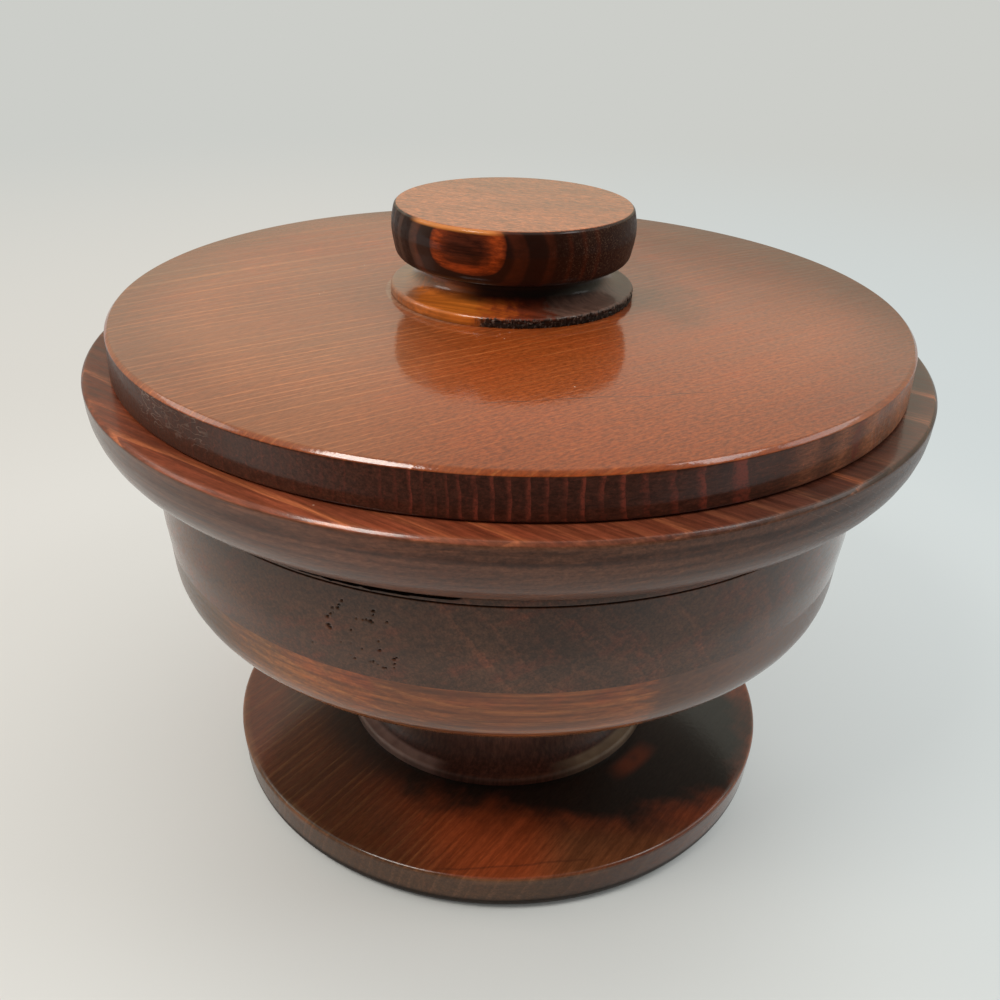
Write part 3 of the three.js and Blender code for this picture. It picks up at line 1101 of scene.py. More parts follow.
def lid_face(spot, colour, back_right):
    """Calm front, stain patch, dark back, a painted sheen on the left, dark margin, a scratch, specks,
    dust.
    """
    along = spot.place.dot(plan(LID_GRAIN)) * GRIT_STRETCH
    aside = spot.place.dot(plan(LID_GRAIN - 90))
    grit = spot.bench.combine(along, aside).noise(GRIT_SCALE, 3.0, 0.65)
    calm = spot.place.dot(CALM_WAY).spread(*CALM_FRONT) * spot.top * 0.55
    colour = calm.blend(colour, grit.mottle(CALM_BROWN, 0.45, 1.5))
    patch = spot.place.outward(PATCH_PLACE, PATCH_REACH) + spot.cloud * 1.6
    colour = (patch.spread(*PATCH_FADE, 1, 0) * spot.top * 0.6).tint(colour, PATCH_TINT)
    colour = back_right.tint(colour, BACK_TINT)
    # Painted reflection: the left of the face turns a paler tan, as if it reflected the room.
    left_sheen = spot.x.spread(*LID_SHEEN_LEFT) * spot.y.spread(*LID_SHEEN_BACK) * spot.top
    left_sheen = left_sheen * spot.y.spread(*LID_SHEEN_FRONT, 0.38, 0.62)
    tan = spot.fine.mottle(LID_SHEEN_TAN, 0.85, 1.15)
    colour = left_sheen.blend(colour, spot.line.spread(0.05, 0.7, 0.92, 1.42).shade(tan))
    margin = (spot.radius + spot.cloud * 12.0).spread(*MARGIN_RADII) * spot.top * 0.85
    colour = (margin * spot.y.spread(*MARGIN_FRONT, 0.35, 1.0)).tint(colour, MARGIN_TINT)
    scratch = hairline(spot, HAIRLINE_START, HAIRLINE_END, 0.08, 0.2, 4.0) * spot.top * 0.6
    colour = scratch.blend(colour, HAIRLINE_DARK)
    dots = specks(spot, 0.12, 0.72, 0.026) * spot.top * 0.9
    colour = dots.blend(colour, SPECK_PALE)
    dusty = spot.radius.band(*DUST_RADII) * spot.azimuth.band(*DUST_AZIMUTHS) * spot.top
    return (dusty * spot.fine.spread(0.35, 0.6, 0.1, 0.5)).blend(colour, DUST_COLOUR)


# %% Lid edge
EDGE_RED = (0.19, 0.034, 0.018)
EDGE_COURSE = (
    (-180, (0.10, 0.032, 0.016)), (-75, (0.078, 0.030, 0.0175)), (-42, (0.064, 0.022, 0.012)),
    (-16, (0.062, 0.019, 0.010)), (0, (0.050, 0.013, 0.007)), (24, (0.060, 0.018, 0.010)),
    (33, (0.075, 0.024, 0.012)), (36, (0.20, 0.066, 0.030)), (39, (0.085, 0.029, 0.014)),
    (42, (0.25, 0.088, 0.040)), (45, (0.13, 0.046, 0.021)), (49, (0.32, 0.115, 0.052)),
    (53, (0.20, 0.074, 0.034)), (58, (0.36, 0.135, 0.062)), (72, (0.31, 0.12, 0.056)),
    (110, (0.15, 0.052, 0.025)), (180, (0.10, 0.032, 0.016)),
)
STRIPE_COURSE = (
    (-180, 0.5), (-60, 0.1), (-15, 0.3), (-3, 1.8), (34, 1.8), (50, 0.5), (180, 0.5),
)
STRIPE_BUNCHES = (0.16, 0.07)
CRUMB_SCALE = 1.3
CRUMB_TINT = (2.3, 1.5, 1.4)


def lid_edge(spot):
    """The colour of the edge: crumbs, and stripes where the rings come out, in bunches."""
    ground = spot.coarse.mottle(spot.azimuth.ramp(EDGE_COURSE), 0.75, 1.2)
    ground = spot.fine.mottle(ground, 0.7, 1.3)
    crumbs = spot.place.noise(CRUMB_SCALE, 3.0, 0.7)
    ground = crumbs.spread(0.55, 0.68, 0.0, 0.45).tint(ground, CRUMB_TINT)
    stripes = spot.line * spot.azimuth.ramp(STRIPE_COURSE) * crumbs.spread(0.35, 0.6, 0.35, 1.0)
    bunches = spot.unrolled.noise(STRIPE_BUNCHES).spread(0.36, 0.58, 0.3, 1.2)
    return (stripes * bunches).clamped().blend(ground, EDGE_RED)


# %% Lid wood
lid_corner = lid_bottom + LID_EDGE - LID_BEVEL
BACK_RIGHT = (20, 80)
CORNER_LEVELS = (lid_corner + 0.1, lid_corner + 0.5, 0.5)
CORNER_AZIMUTHS = (-70, 60, 20)
CORNER_DARK = (0.02, 0.009, 0.005)
SCUFF_COLOUR = (0.30, 0.22, 0.18)
LEFT_SCUFF_AZIMUTHS = (-48, -38, 4)
LEFT_SCUFF_LEVELS = (lid_corner - 6.1, lid_corner - 0.6, 1.5)
LEVEL_SCRATCHES = (0.22, 0.55)
RIGHT_SCUFF_AZIMUTHS = (52, 68, 6)
UPRIGHT_SCRATCHES = (2.2, 0.3)
DULL_RIGHT = (15, 45)
DULL_LEFT = (-22, -42)


def lid_marks(spot, colour, coat):
    """Face and edge, a dark line under the corner, two scuffed places, and gloss lost at the sides."""
    back_right = (spot.y * 0.8 + spot.x * 0.6).spread(*BACK_RIGHT, 0, 0.75)
    colour = spot.side.blend(lid_face(spot, colour, back_right), lid_edge(spot))
    corner_line = spot.level.band(*CORNER_LEVELS) * spot.azimuth.band(*CORNER_AZIMUTHS)
    colour = (corner_line * spot.side * 0.55).blend(colour, CORNER_DARK)
    left = spot.azimuth.band(*LEFT_SCUFF_AZIMUTHS) * spot.level.band(*LEFT_SCUFF_LEVELS)
    left = left * spot.unrolled.noise(LEVEL_SCRATCHES, 1.5, 0.6).band(0.49, 0.50, 0.025)
    left = left * spot.cloud.spread(0.4, 0.6, 0.4, 1.0)
    right = spot.unrolled.noise(UPRIGHT_SCRATCHES, 3.0, 0.7).spread(0.5, 0.65)
    right = right * spot.azimuth.band(*RIGHT_SCUFF_AZIMUTHS)
    scuffed = left.greater(right) * spot.side * 0.6
    colour = scuffed.blend(colour, SCUFF_COLOUR)
    dry = spot.azimuth.spread(*DULL_RIGHT, 0.35, 0.85)
    dry = dry.greater(spot.azimuth.spread(*DULL_LEFT, 0, 0.85)) * spot.side
    coat = coat * (1.0 - dry) * (1.0 - back_right * 0.45)
    return colour, (coat - scuffed * 0.8).clamped()


lid_wood = wood("lid_board", dict(
    grain=plan(LID_GRAIN), across=plan(LID_GRAIN - 90), spacing=2.8, tighten=0.00145,
    bend=0.0008, waves=3.0, ripples=1.0, pith=900.0, uneven=1.4, line_from=0.6, faintest=0.2,
    fibre=0.14, grit=0.26, patches=0.12, end_from=0.8, end_to=1.0, thirst=0.0,
    coat_roughness=0.1,
), dict(
    early=(0.280, 0.051, 0.0078), late=(0.40, 0.107, 0.025),
    end_early=(0.19, 0.040, 0.010), end_late=(0.28, 0.06, 0.02),
), lid_marks)

# %% [markdown]
# ## The knob
# The rings stand upright across its front left, where the lathe just grazed one of them: it
# closes there into an orange eye with a dark middle. To the right the cut runs into end
# grain, black and speckled. The collar shows one smooth orange field that ends in a ragged
# border, and the top was rubbed back to a plain pinkish tan. The eye is drawn as a rounded
# square in azimuth and level, because no simple set of shells gives that outline.

# %% Knob grip
KNOB_ACROSS = -113.4
KNOB_RINGS = (
    (0.0, 0.05), (13.6, 0.05), (14.6, 0.3), (15.6, 0.05), (17.4, 0.05), (18.2, 0.3), (19.1, 0.04),
    (20.9, 0.04), (21.6, 0.26), (22.4, 0.03), (24.2, 0.02), (24.9, 0.2), (25.7, 0.2), (26.2, 0.02),
    (28.4, 0.0), (28.8, 0.22), (30.0, 0.26), (30.4, 0.02), (34.5, 0.0),
)
RINGS_FAINTER = (-32, 4)
GRIP_DARK = (0.018, 0.0046, 0.0020)
GRIP_ORANGE = (0.33, 0.052, 0.0080)
GRIP_SHEEN = (0.27, 0.14, 0.095)
GRIP_SHEEN_LEFT = (-42, -56, 80, 120)
EYE_AZIMUTH = -21.6
EYE_LEVEL = knob_top - 4.7
EYE_HALF_WIDTH = 17.2
EYE_HALF_HEIGHT = 6.4
EYE_SQUARENESS = 3.0
EYE_BORDER = (1.04, 1.1)
EYE_RINGS = (
    (0.0, (0.046, 0.0090, 0.003)), (0.44, (0.062, 0.011, 0.003)), (0.64, (0.125, 0.019, 0.003)),
    (0.76, (0.23, 0.033, 0.004)), (0.92, (0.27, 0.040, 0.005)), (1.02, (0.15, 0.022, 0.003)),
    (1.08, (0.018, 0.005, 0.002)), (1.20, (0.018, 0.005, 0.002)),
)
GRIP_CRUMBS = (0.17, 0.100, 0.056)
GRIP_CRUMB_SCALE = 2.3
CRUMBS_RIGHT = (10, 44)
GRIP_HIGHLIGHT_LEVELS = (knob_top - 1.3, knob_top - 0.7)
GRIP_HIGHLIGHT_AZIMUTHS = (-46, -12, 10)
GRIP_HIGHLIGHT = (0.70, 0.24, 0.050)


def knob_grip(spot):
    """Grip colour: rings with a painted sheen at the left, the eye, crumbs in the end grain, a painted
    highlight.
    """
    across = abs(spot.place.dot(plan(KNOB_ACROSS)) + spot.cloud * 0.8 - 0.4)
    rings = across.ramp(KNOB_RINGS) * spot.coarse.spread(0.3, 0.7, 0.65, 1.2)
    rings = rings * (1.0 - spot.azimuth.sector(*RINGS_FAINTER) * 0.5)
    # Painted sheen: the ring lines turn pale grey-pink towards the far left.
    lines = spot.azimuth.sector(*GRIP_SHEEN_LEFT).blend(GRIP_ORANGE, GRIP_SHEEN)
    grip = rings.blend(GRIP_DARK, lines)
    aside = abs((spot.azimuth - EYE_AZIMUTH) / EYE_HALF_WIDTH) ** EYE_SQUARENESS
    above = abs((spot.level - EYE_LEVEL) / EYE_HALF_HEIGHT) ** EYE_SQUARENESS
    outward = (aside + above) ** (1 / EYE_SQUARENESS) + spot.cloud * 0.24 - 0.12
    eye = spot.coarse.mottle(outward.ramp(EYE_RINGS), 0.5, 1.5)
    grip = outward.spread(*EYE_BORDER, 1, 0).blend(grip, spot.fine.mottle(eye, 0.75, 1.25))
    crumbs = spot.place.noise(GRIP_CRUMB_SCALE, 4.0, 0.8).spread(0.52, 0.66)
    crumbs = crumbs * spot.azimuth.sector(*CRUMBS_RIGHT) * 0.75
    grip = crumbs.blend(grip, GRIP_CRUMBS)
    # Painted highlight along the top edge at the front left, over orange wood.
    glow = spot.level.spread(*GRIP_HIGHLIGHT_LEVELS) * spot.azimuth.band(*GRIP_HIGHLIGHT_AZIMUTHS) * 0.85
    return glow.blend(grip, GRIP_HIGHLIGHT)


# %% Knob collar and top
COLLAR_RAGGED = 44.0
COLLAR_COURSE = (
    (-180, (0.10, 0.05, 0.03)), (-95, (0.30, 0.14, 0.075)), (-66, (0.33, 0.115, 0.045)),
    (-52, (0.50, 0.125, 0.016)), (-22, (0.60, 0.155, 0.018)), (-6, (0.42, 0.080, 0.013)),
    (3, (0.18, 0.030, 0.010)), (17, (0.12, 0.026, 0.012)), (23, (0.120, 0.060, 0.043)),
    (70, (0.170, 0.096, 0.072)), (120, (0.10, 0.05, 0.032)), (180, (0.10, 0.05, 0.03)),
)
JAGS = (0.7, 0.15)
TORN_FIBRES = (1.1, 0.7)
TORN_LEVELS = (knob_seat + 2.3, knob_seat + 1.7)
TORN_AZIMUTHS = (-9, 92, 8)
TORN_DARK = (0.022, 0.012, 0.009)
TORN_PALE = (0.20, 0.14, 0.11)
TOP_TAN = (0.385, 0.105, 0.031)
TOP_BLOTCHES = 0.9
TOP_SMEARS = (0.05, 0.16)
TOP_LIGHTER_WAY = plan(-120)
TOP_LIGHTER = (-26, 26)


def knob_collar(spot):
    """The colour of the collar: a course round the azimuth, and fibres in its torn lower edge."""
    ragged = spot.azimuth + (spot.place.noise(0.35, 3.0, 0.6) - 0.5) * COLLAR_RAGGED
    collar = spot.coarse.mottle(ragged.ramp(COLLAR_COURSE), 0.7, 1.2)
    jags = spot.unrolled.noise(JAGS, 4.0, 0.75) - 0.5
    torn = (spot.level - jags * 3.4).spread(*TORN_LEVELS)
    torn = torn * (spot.azimuth + jags * 22.0).band(*TORN_AZIMUTHS)
    fibres = spot.unrolled.noise(TORN_FIBRES, 4.0, 0.75).spread(0.5, 0.64)
    return torn.blend(collar, fibres.blend(TORN_DARK, TORN_PALE))


def knob_face(spot):
    """The colour of the top: a gritty tan with smears, a little lighter at the front left."""
    tan = spot.fine.mottle(TOP_TAN, 0.48, 1.38)
    tan = spot.place.noise(TOP_BLOTCHES, 3.0, 0.7).mottle(tan, 0.76, 1.24)
    tan = spot.place.noise(TOP_SMEARS, 3.0, 0.6).mottle(tan, 0.84, 1.16)
    return spot.place.dot(TOP_LIGHTER_WAY).spread(*TOP_LIGHTER, 0.86, 1.12).shade(tan)


# %% Knob wood
GRIP_TO_COLLAR = (neck_foot + 0.5, neck_foot - 1.5)
HOLLOW_LEVELS = (neck_foot - 0.4, neck_top + 2.0, 2.2)
HOLLOW_AZIMUTHS = (-14, 62, 26)
NECK_SHADE_AND_STAIN = (0.012, 0.0065, 0.0045)
KNOB_TOP_SLOPE = (0.75, 0.95)
KNOB_TOP_LEVELS = (knob_top - 1.2, knob_top - 0.3)
ROUGH_RIGHT = (18, 45)
ROUGH_LEFT = (-40, -56)
ROUGH_LEVELS = (neck_foot - 1, neck_foot + 1)
ROUGH_COLLAR = (12, 34, 100)


def knob_marks(spot, colour, coat):
    """Grip above, collar below, painted shade and stain in the hollow between, the rubbed top, dull end
    grain.
    """
    low = spot.level.spread(*GRIP_TO_COLLAR)
    colour = low.blend(knob_grip(spot), knob_collar(spot))
    # Painted shade and stain: the hollow under the grip is painted near black.
    hollow = (spot.level + spot.cloud * 3.0).band(*HOLLOW_LEVELS)
    hollow = hollow * spot.azimuth.band(*HOLLOW_AZIMUTHS)
    colour = (hollow * 0.95).blend(colour, NECK_SHADE_AND_STAIN)
    top = spot.up.spread(*KNOB_TOP_SLOPE) * spot.level.spread(*KNOB_TOP_LEVELS)
    colour = top.blend(colour, knob_face(spot))
    rough = spot.azimuth.spread(*ROUGH_RIGHT, 0.5, 0.95)
    rough = rough.greater(spot.azimuth.spread(*ROUGH_LEFT, 0, 0.9))
    rough = rough * spot.up.spread(0.8, 0.5) * spot.level.spread(*ROUGH_LEVELS)
    rough = rough.greater(hollow * 0.7).greater(low * spot.azimuth.sector(*ROUGH_COLLAR) * 0.6)
    return colour, (coat * (1.0 - rough)).clamped()


knob_wood = wood("lid_knob", dict(
    grain=plan(-23.4), across=plan(KNOB_ACROSS), spacing=3.6, waves=0.6, ripples=0.5, pith=900.0,
    fibre=0.3, grit=0.2, patches=0.15, thirst=0.45, rubbed=0.3,
), dict(
    early=(0.06, 0.013, 0.004), late=(0.50, 0.12, 0.022),
    end_early=(0.04, 0.016, 0.009), end_late=(0.14, 0.04, 0.02), worn=(0.60, 0.26, 0.09),
), knob_marks)

# %% [markdown]
# ## The three boards of the bowl
# The rim's board lies almost flat to the rings: long streaks on its face, and a few orange
# lines that cross its top. The wall is end grain at the front, dark and mottled, with small
# reddish blotches. The base board shows its side at the front, streaked orange-brown, and
# goes dull and purple to the right. Rings alone would put such faces somewhere, but not where
# this bowl has them. So some main tones are given by azimuth, and rings and fibres run
# through them.

# %% Rim wood
RIM_FACE_COURSE = (
    (-180, (0.085, 0.044, 0.030)), (-75, (0.096, 0.058, 0.041)), (-45, (0.080, 0.040, 0.024)),
    (-15, (0.106, 0.046, 0.0260)), (15, (0.102, 0.041, 0.022)), (45, (0.086, 0.038, 0.024)),
    (100, (0.080, 0.039, 0.025)), (180, (0.085, 0.044, 0.030)),
)
RIM_FACE_SLOPE = (0.62, 0.35)
RIM_STREAKS = (0.022, 0.75)
RIM_LEFT = (-40, -5)
UNDER_LEVELS = (rim_top - 5.0, rim_top - 3.8, 0.9)
UNDER_TINT = (0.4, 0.4, 0.45)
RIM_SPECK_PALE = (0.6, 0.42, 0.3)
RIM_END_RIGHT = (14, 44)
RIM_END_LEFT = (-42, -66)
RIM_END_TINT = (0.42, 0.55, 0.74)
RIM_SCRATCH_WAY = (1.0, 1.8, 0)
RIM_SCRATCH_AZIMUTHS = (38, 62, 8)
RIM_MATT_LEFT = (-20, -52, 110)


def rim_face(spot):
    """The colour of the outer face: a course round the azimuth under long level streaks."""
    streaks = spot.unrolled.noise(RIM_STREAKS, 4.0, 0.6)
    face = streaks.mottle(spot.azimuth.ramp(RIM_FACE_COURSE), 0.60, 1.40)
    return spot.fine.mottle(spot.coarse.mottle(face, 0.82, 1.18), 0.78, 1.22)


def rim_marks(spot, colour, coat):
    """Streaked face, a darker line below it, specks, scratches on the right, dull ends on the top."""
    side = spot.up.spread(*RIM_FACE_SLOPE)
    above = 1.0 - side
    colour = (side * spot.azimuth.spread(*RIM_LEFT, 0.85, 0.78)).blend(colour, rim_face(spot))
    under = spot.level.band(*UNDER_LEVELS) * side * spot.cloud.spread(0.4, 0.6, 0.2, 0.6)
    colour = under.tint(colour, UNDER_TINT)
    dots = specks(spot, 0.16, 0.8, 0.05) * spot.top * 0.6
    colour = dots.blend(colour, RIM_SPECK_PALE)
    turn = spot.azimuth + spot.cloud * 20.0
    dull = turn.spread(*RIM_END_RIGHT).greater(turn.spread(*RIM_END_LEFT, 0, 0.76))
    dull = dull * spot.line.spread(0.5, 0.9, 1.0, 0.45) * above
    colour = dull.tint(colour, RIM_END_TINT)
    slanted = spot.bench.combine(spot.unrolled.dot(RIM_SCRATCH_WAY), spot.level * 0.25)
    scuffed = slanted.noise(1.0, 3.0, 0.7).spread(0.56, 0.68) * side * 0.4
    scuffed = scuffed * spot.azimuth.band(*RIM_SCRATCH_AZIMUTHS)
    matt = above * spot.azimuth.sector(*RIM_MATT_LEFT) * 0.5
    return scuffed.blend(colour, SCUFF_COLOUR), (coat * (1.0 - matt) - scuffed * 0.8).clamped()


rim_wood = wood("bowl_rim", dict(
    grain=plan(-35), across=(-0.10, -0.147, 0.98), spacing=2.3, waves=5.0, ripples=1.0,
    pith=800.0, uneven=1.6, line_from=0.55, faintest=0.12, sparse=1.8, fibre=0.34, grit=0.16,
    patches=0.2, end_to=0.95, thirst=0.45, rubbed=0.12, coat=0.75, coat_roughness=0.16,
), dict(
    early=(0.215, 0.050, 0.0215), late=(0.44, 0.126, 0.047),
    end_early=(0.070, 0.026, 0.013), end_late=(0.24, 0.09, 0.045),
), rim_marks)

# %% Wall wood
WALL_EARLY = (0.086, 0.036, 0.018)
WALL_LATE = (0.125, 0.046, 0.022)
STREAK_ALONG = (0.045, 0.021, 0)
STREAK_ACROSS = (-0.134, 0.288, 0)
STREAK_DARK = (0.5, 0.6, 0.75)
BLOTCH_SCALE = 0.11
BLOTCH_RED = (1.65, 0.95, 0.8)
WALL_SHEEN_LEFT = (-38, -75, 110)
WALL_SHEEN_TINT = (1.45, 1.42, 1.35)


def wall_marks(spot, colour, coat):
    """Reddish blotches and slanting streaks over the end grain, and a painted sheen on the left."""
    slanted = spot.bench.combine(spot.unrolled.dot(STREAK_ALONG), spot.unrolled.dot(STREAK_ACROSS))
    streaks = slanted.noise(1.0, 4.0, 0.65)
    blotches = spot.place.noise(BLOTCH_SCALE, 3.0, 0.6)
    colour = (streaks + blotches).spread(0.98, 1.25, 0, 0.5).tint(colour, BLOTCH_RED)
    colour = streaks.spread(0.47, 0.33, 0.0, 0.4).tint(colour, STREAK_DARK)
    # Painted reflection: the wall's left is lightened, as if it reflected the pale floor.
    return (spot.azimuth.sector(*WALL_SHEEN_LEFT) * 0.9).tint(colour, WALL_SHEEN_TINT), coat


wall_wood = wood("bowl_wall", dict(
    grain=plan(82, 0.1), across=(0.7, 0.0, 0.7), spacing=5.0, waves=26.0, ripples=5.0, pith=60.0,
    uneven=3.0, line_from=0.3, faintest=0.0, fibre=0.3, grit=0.3, patches=0.2, thirst=0.35,
    warmth=0.35,
), dict(
    early=(0.10, 0.036, 0.016), late=(0.14, 0.048, 0.022), end_early=WALL_EARLY,
    end_late=WALL_LATE, warm=(1.35, 0.95, 0.8),
), wall_marks)

# %% Base wood
BASE_STREAKS = (0.03, 0.9)
OCHRE_LEFT = (-8, -40, 58, 85)
BASE_OCHRE = (0.98, 1.18, 1.0)
DULL_BORDER = 9.0
BASE_DULL_RIGHT = (23, 28, 100, 165)
OUTSIDE_RADII = (inside_radius + 1, inside_radius + 4)
OUTSIDE_LEVELS = (base_bottom + 11, base_bottom + 9)
RED_LEVELS = (base_top - 3.3, base_top + 0.2, 1.5)
RED_AZIMUTHS = (-20, 22, 15)
BASE_RED = (1.0, 0.65, 0.65)


def base_marks(spot, colour, coat):
    """Long level streaks, a dull purple right, a red line under the joint with the wall."""
    colour = spot.unrolled.noise(BASE_STREAKS, 3.0, 0.6).mottle(colour, 0.66, 1.28)
    colour = (spot.azimuth.sector(*OCHRE_LEFT) * 0.7).tint(colour, BASE_OCHRE)
    ragged = spot.bench.combine(spot.azimuth, spot.level * 1.5).noise(0.3, 3.0) * DULL_BORDER
    outside = spot.radius.spread(*OUTSIDE_RADII).greater(spot.level.spread(*OUTSIDE_LEVELS))
    dull = (spot.azimuth + ragged).sector(*BASE_DULL_RIGHT) * outside * 0.9
    wall_tone = spot.coarse.mottle(spot.cloud.blend(WALL_EARLY, WALL_LATE), 0.75, 1.25)
    colour = dull.blend(colour, wall_tone)
    red = spot.level.band(*RED_LEVELS) * spot.azimuth.band(*RED_AZIMUTHS)
    return (red * spot.cloud.spread(0.4, 0.65, 0.0, 0.6)).tint(colour, BASE_RED), coat


base_wood = wood("bowl_base", dict(
    grain=plan(4), across=(0.03, -0.28, 0.95), spacing=2.8, waves=9.0, ripples=1.0, pith=220.0,
    uneven=2.0, line_from=0.4, faintest=0.1, fibre=0.24, grit=0.14, patches=0.24, end_from=0.5,
    end_to=0.8, thirst=0.35, coat=0.85,
), dict(
    early=(0.245, 0.066, 0.0155), late=(0.32, 0.102, 0.027), end_early=WALL_EARLY,
    end_late=WALL_LATE,
), base_marks)

# %% [markdown]
# ## Foot, stem and the parts that are seldom seen
# The foot's board has olive and dark stripes on the left, a clear orange front and a drab
# front right. Its right and a ring round the stem are painted almost black: a painted shadow
# of the bowl over the foot, with some dark stain in it. The stem is cut along the trunk. It is
# painted darker towards its foot, a painted shade from the bowl above, and its lowest edge has
# painted pale highlights on both sides. Fields in plan and bands of radius and level are
# enough for all this. The disc under the lid got one thin coat, so it is duller than the rest.

# %% Foot face
CLEAR_RIGHT = (-22, 6)
FOOT_ORANGE = (0.235, 0.043, 0.0110)
DARKER_LEFT = (-25, -60)
DARKER_TINT = (0.76, 0.84, 0.82)
OLIVE_LEFT = (-26, -60)
OLIVE_RIM = (-76, -64)
OLIVE_DARK = (0.34, 0.52, 0.62)
OLIVE_PALE = (0.50, 0.86, 0.95)
DRAB_RIGHT = (6, 24)
DRAB_FRONT = (-58, -70)
DRAB_TINT = (0.50, 0.95, 1.3)
PAINTED_SHADOW_PLACE = (22.0, -21.0)
PAINTED_SHADOW_REACH = (62.0, 42.0)
PAINTED_SHADOW_FADE = (1.15, 1.5)
SHADE_RING_RADII = (stem_radius + 6.8, stem_radius + 19.8)
SHADE_RING_AZIMUTHS = (-80, 70, 15)
FOOT_SHADOW_AND_STAIN = (0.0100, 0.0080, 0.0058)
EMBER_RADII = (stem_radius + 5.3, stem_radius + 7.3, 3.5)
EMBER_AZIMUTHS = (47, 52, 10)
CHORD_START = (-12.0, -82.0)
CHORD_END = (24.0, -77.33)
CHORD_DARK = (0.04, 0.012, 0.006)


def foot_face(spot, colour):
    """Orange front, olive left, drab front right, a painted shadow on the right, an ember in it, a scratch.
    """
    orange = spot.fine.mottle(spot.coarse.mottle(FOOT_ORANGE, 0.75, 1.2), 0.85, 1.15)
    clear = (spot.x + spot.cloud * 24.0).spread(*CLEAR_RIGHT) * spot.top * 0.88
    colour = clear.blend(colour, orange)
    colour = (spot.x.spread(*DARKER_LEFT) * spot.top).tint(colour, DARKER_TINT)
    olive = (spot.x + spot.y * 0.35).spread(*OLIVE_LEFT) * spot.x.spread(*OLIVE_RIM, 0.35, 1)
    stripes = spot.line.blend(OLIVE_DARK, OLIVE_PALE)
    colour = (olive * spot.top * 0.92).tint(colour, stripes)
    drab = spot.x.spread(*DRAB_RIGHT) * spot.y.spread(*DRAB_FRONT) * spot.top * 0.85
    colour = drab.tint(colour, DRAB_TINT)
    # The painted shadow of the bowl, with some dark stain, is an ellipse with a ragged border,
    # joined to a ring of painted shade round the stem.
    dark = spot.place.outward(PAINTED_SHADOW_PLACE, PAINTED_SHADOW_REACH) + spot.cloud * 0.6
    shade_round_stem = (spot.radius + spot.cloud * 10.0).spread(*SHADE_RING_RADII, 1, 0) * 0.9
    shade_round_stem = shade_round_stem * spot.azimuth.band(*SHADE_RING_AZIMUTHS)
    dark = dark.spread(*PAINTED_SHADOW_FADE, 0.99, 0).greater(shade_round_stem) * spot.top
    colour = dark.blend(colour, spot.fine.mottle(FOOT_SHADOW_AND_STAIN, 0.7, 1.3))
    ember = spot.radius.band(*EMBER_RADII) * spot.azimuth.band(*EMBER_AZIMUTHS) * spot.top
    colour = (ember * spot.cloud.spread(0.35, 0.55, 0.2, 0.6)).blend(colour, FOOT_ORANGE)
    scratch = hairline(spot, CHORD_START, CHORD_END, 0.15, 0.4, 5.0) * spot.top * 0.38
    return scratch.blend(colour, CHORD_DARK)


# %% Foot wood
EDGE_DULL_RIGHT = (-10, 40, 110)
EDGE_TINT = (0.52, 0.68, 0.78)
LOWER_DARK_LEVELS = (foot_bottom + 6.5, foot_bottom + 2.5)
LOWER_DARK_TINT = (0.4, 0.42, 0.40)


def foot_marks(spot, colour, coat):
    """The face, and an edge that is duller to the right and darker near the ground."""
    colour = foot_face(spot, colour)
    dull = spot.side * (spot.azimuth.sector(*EDGE_DULL_RIGHT) * 0.55 + 0.35)
    # The edge is darker towards the ground.
    darker_low = spot.side * spot.level.spread(*LOWER_DARK_LEVELS, 0, 0.55)
    return darker_low.tint(dull.tint(colour, EDGE_TINT), LOWER_DARK_TINT), coat


foot_wood = wood("foot", dict(
    grain=plan(57), across=(-0.84, 0.545, 0.3), spacing=2.9, waves=4.0, ripples=0.8, pith=300.0,
    uneven=1.4, line_from=0.45, faintest=0.2, fibre=0.2, grit=0.2, patches=0.2, end_lines=0.8,
    thirst=0.5, coat_roughness=0.16,
), dict(
    early=(0.18, 0.036, 0.0110), late=(0.215, 0.054, 0.017),
    end_early=(0.100, 0.042, 0.018), end_late=(0.158, 0.066, 0.030),
), foot_marks)

# %% Stem and disc wood
STEM_SHADE_LEVELS = (foot_top + 6.9, foot_top + 20.9)
STEM_SHADE_TINT = (0.35, 0.4, 0.5)
LIP_RADII = (stem_radius - 3.0, stem_radius - 0.6, 1.2)
LIP_LEVELS = (stem_foot_edge + 3.0, stem_foot_edge + 1.5)
LIP_LEFT = (-62, -30, 14)
LIP_LEFT_HIGHLIGHT = (0.34, 0.22, 0.18)
LIP_RIGHT = (34, 58, 16)
LIP_RIGHT_HIGHLIGHT = (0.28, 0.20, 0.125)


def stem_marks(spot, colour, coat):
    """Painted shade, darker towards the stem's foot, and painted pale highlights on the edge below it."""
    # Painted shade: the bowl above keeps the light off the stem, so it is darker lower down.
    pooled = (spot.level + spot.cloud * 8.0).spread(*STEM_SHADE_LEVELS, 0.7, 0.0)
    colour = pooled.tint(colour, STEM_SHADE_TINT)
    # Painted highlights: pale arcs on both sides of the lowest edge, where the light glints.
    lip_highlight = spot.radius.band(*LIP_RADII) * spot.level.spread(*LIP_LEVELS)
    lip_highlight = lip_highlight * spot.cloud.spread(0.35, 0.6, 0.45, 0.9)
    colour = (lip_highlight * spot.azimuth.band(*LIP_LEFT)).blend(colour, LIP_LEFT_HIGHLIGHT)
    return (lip_highlight * spot.azimuth.band(*LIP_RIGHT)).blend(colour, LIP_RIGHT_HIGHLIGHT), coat


stem_wood = wood("stem", dict(
    grain=(0.05, 0.1, 1.0), across=(1.0, 0.2, 0.0), spacing=3.0, waves=4.0, ripples=1.0,
    pith=50.0, uneven=1.5, line_from=0.5, faintest=0.1, fibre=0.3, grit=0.16, patches=0.25,
    end_from=0.5, coat=0.6, coat_roughness=0.34,
), dict(
    early=(0.150, 0.054, 0.032), late=(0.195, 0.074, 0.042),
    end_early=(0.13, 0.045, 0.026), end_late=(0.18, 0.06, 0.034),
), stem_marks)

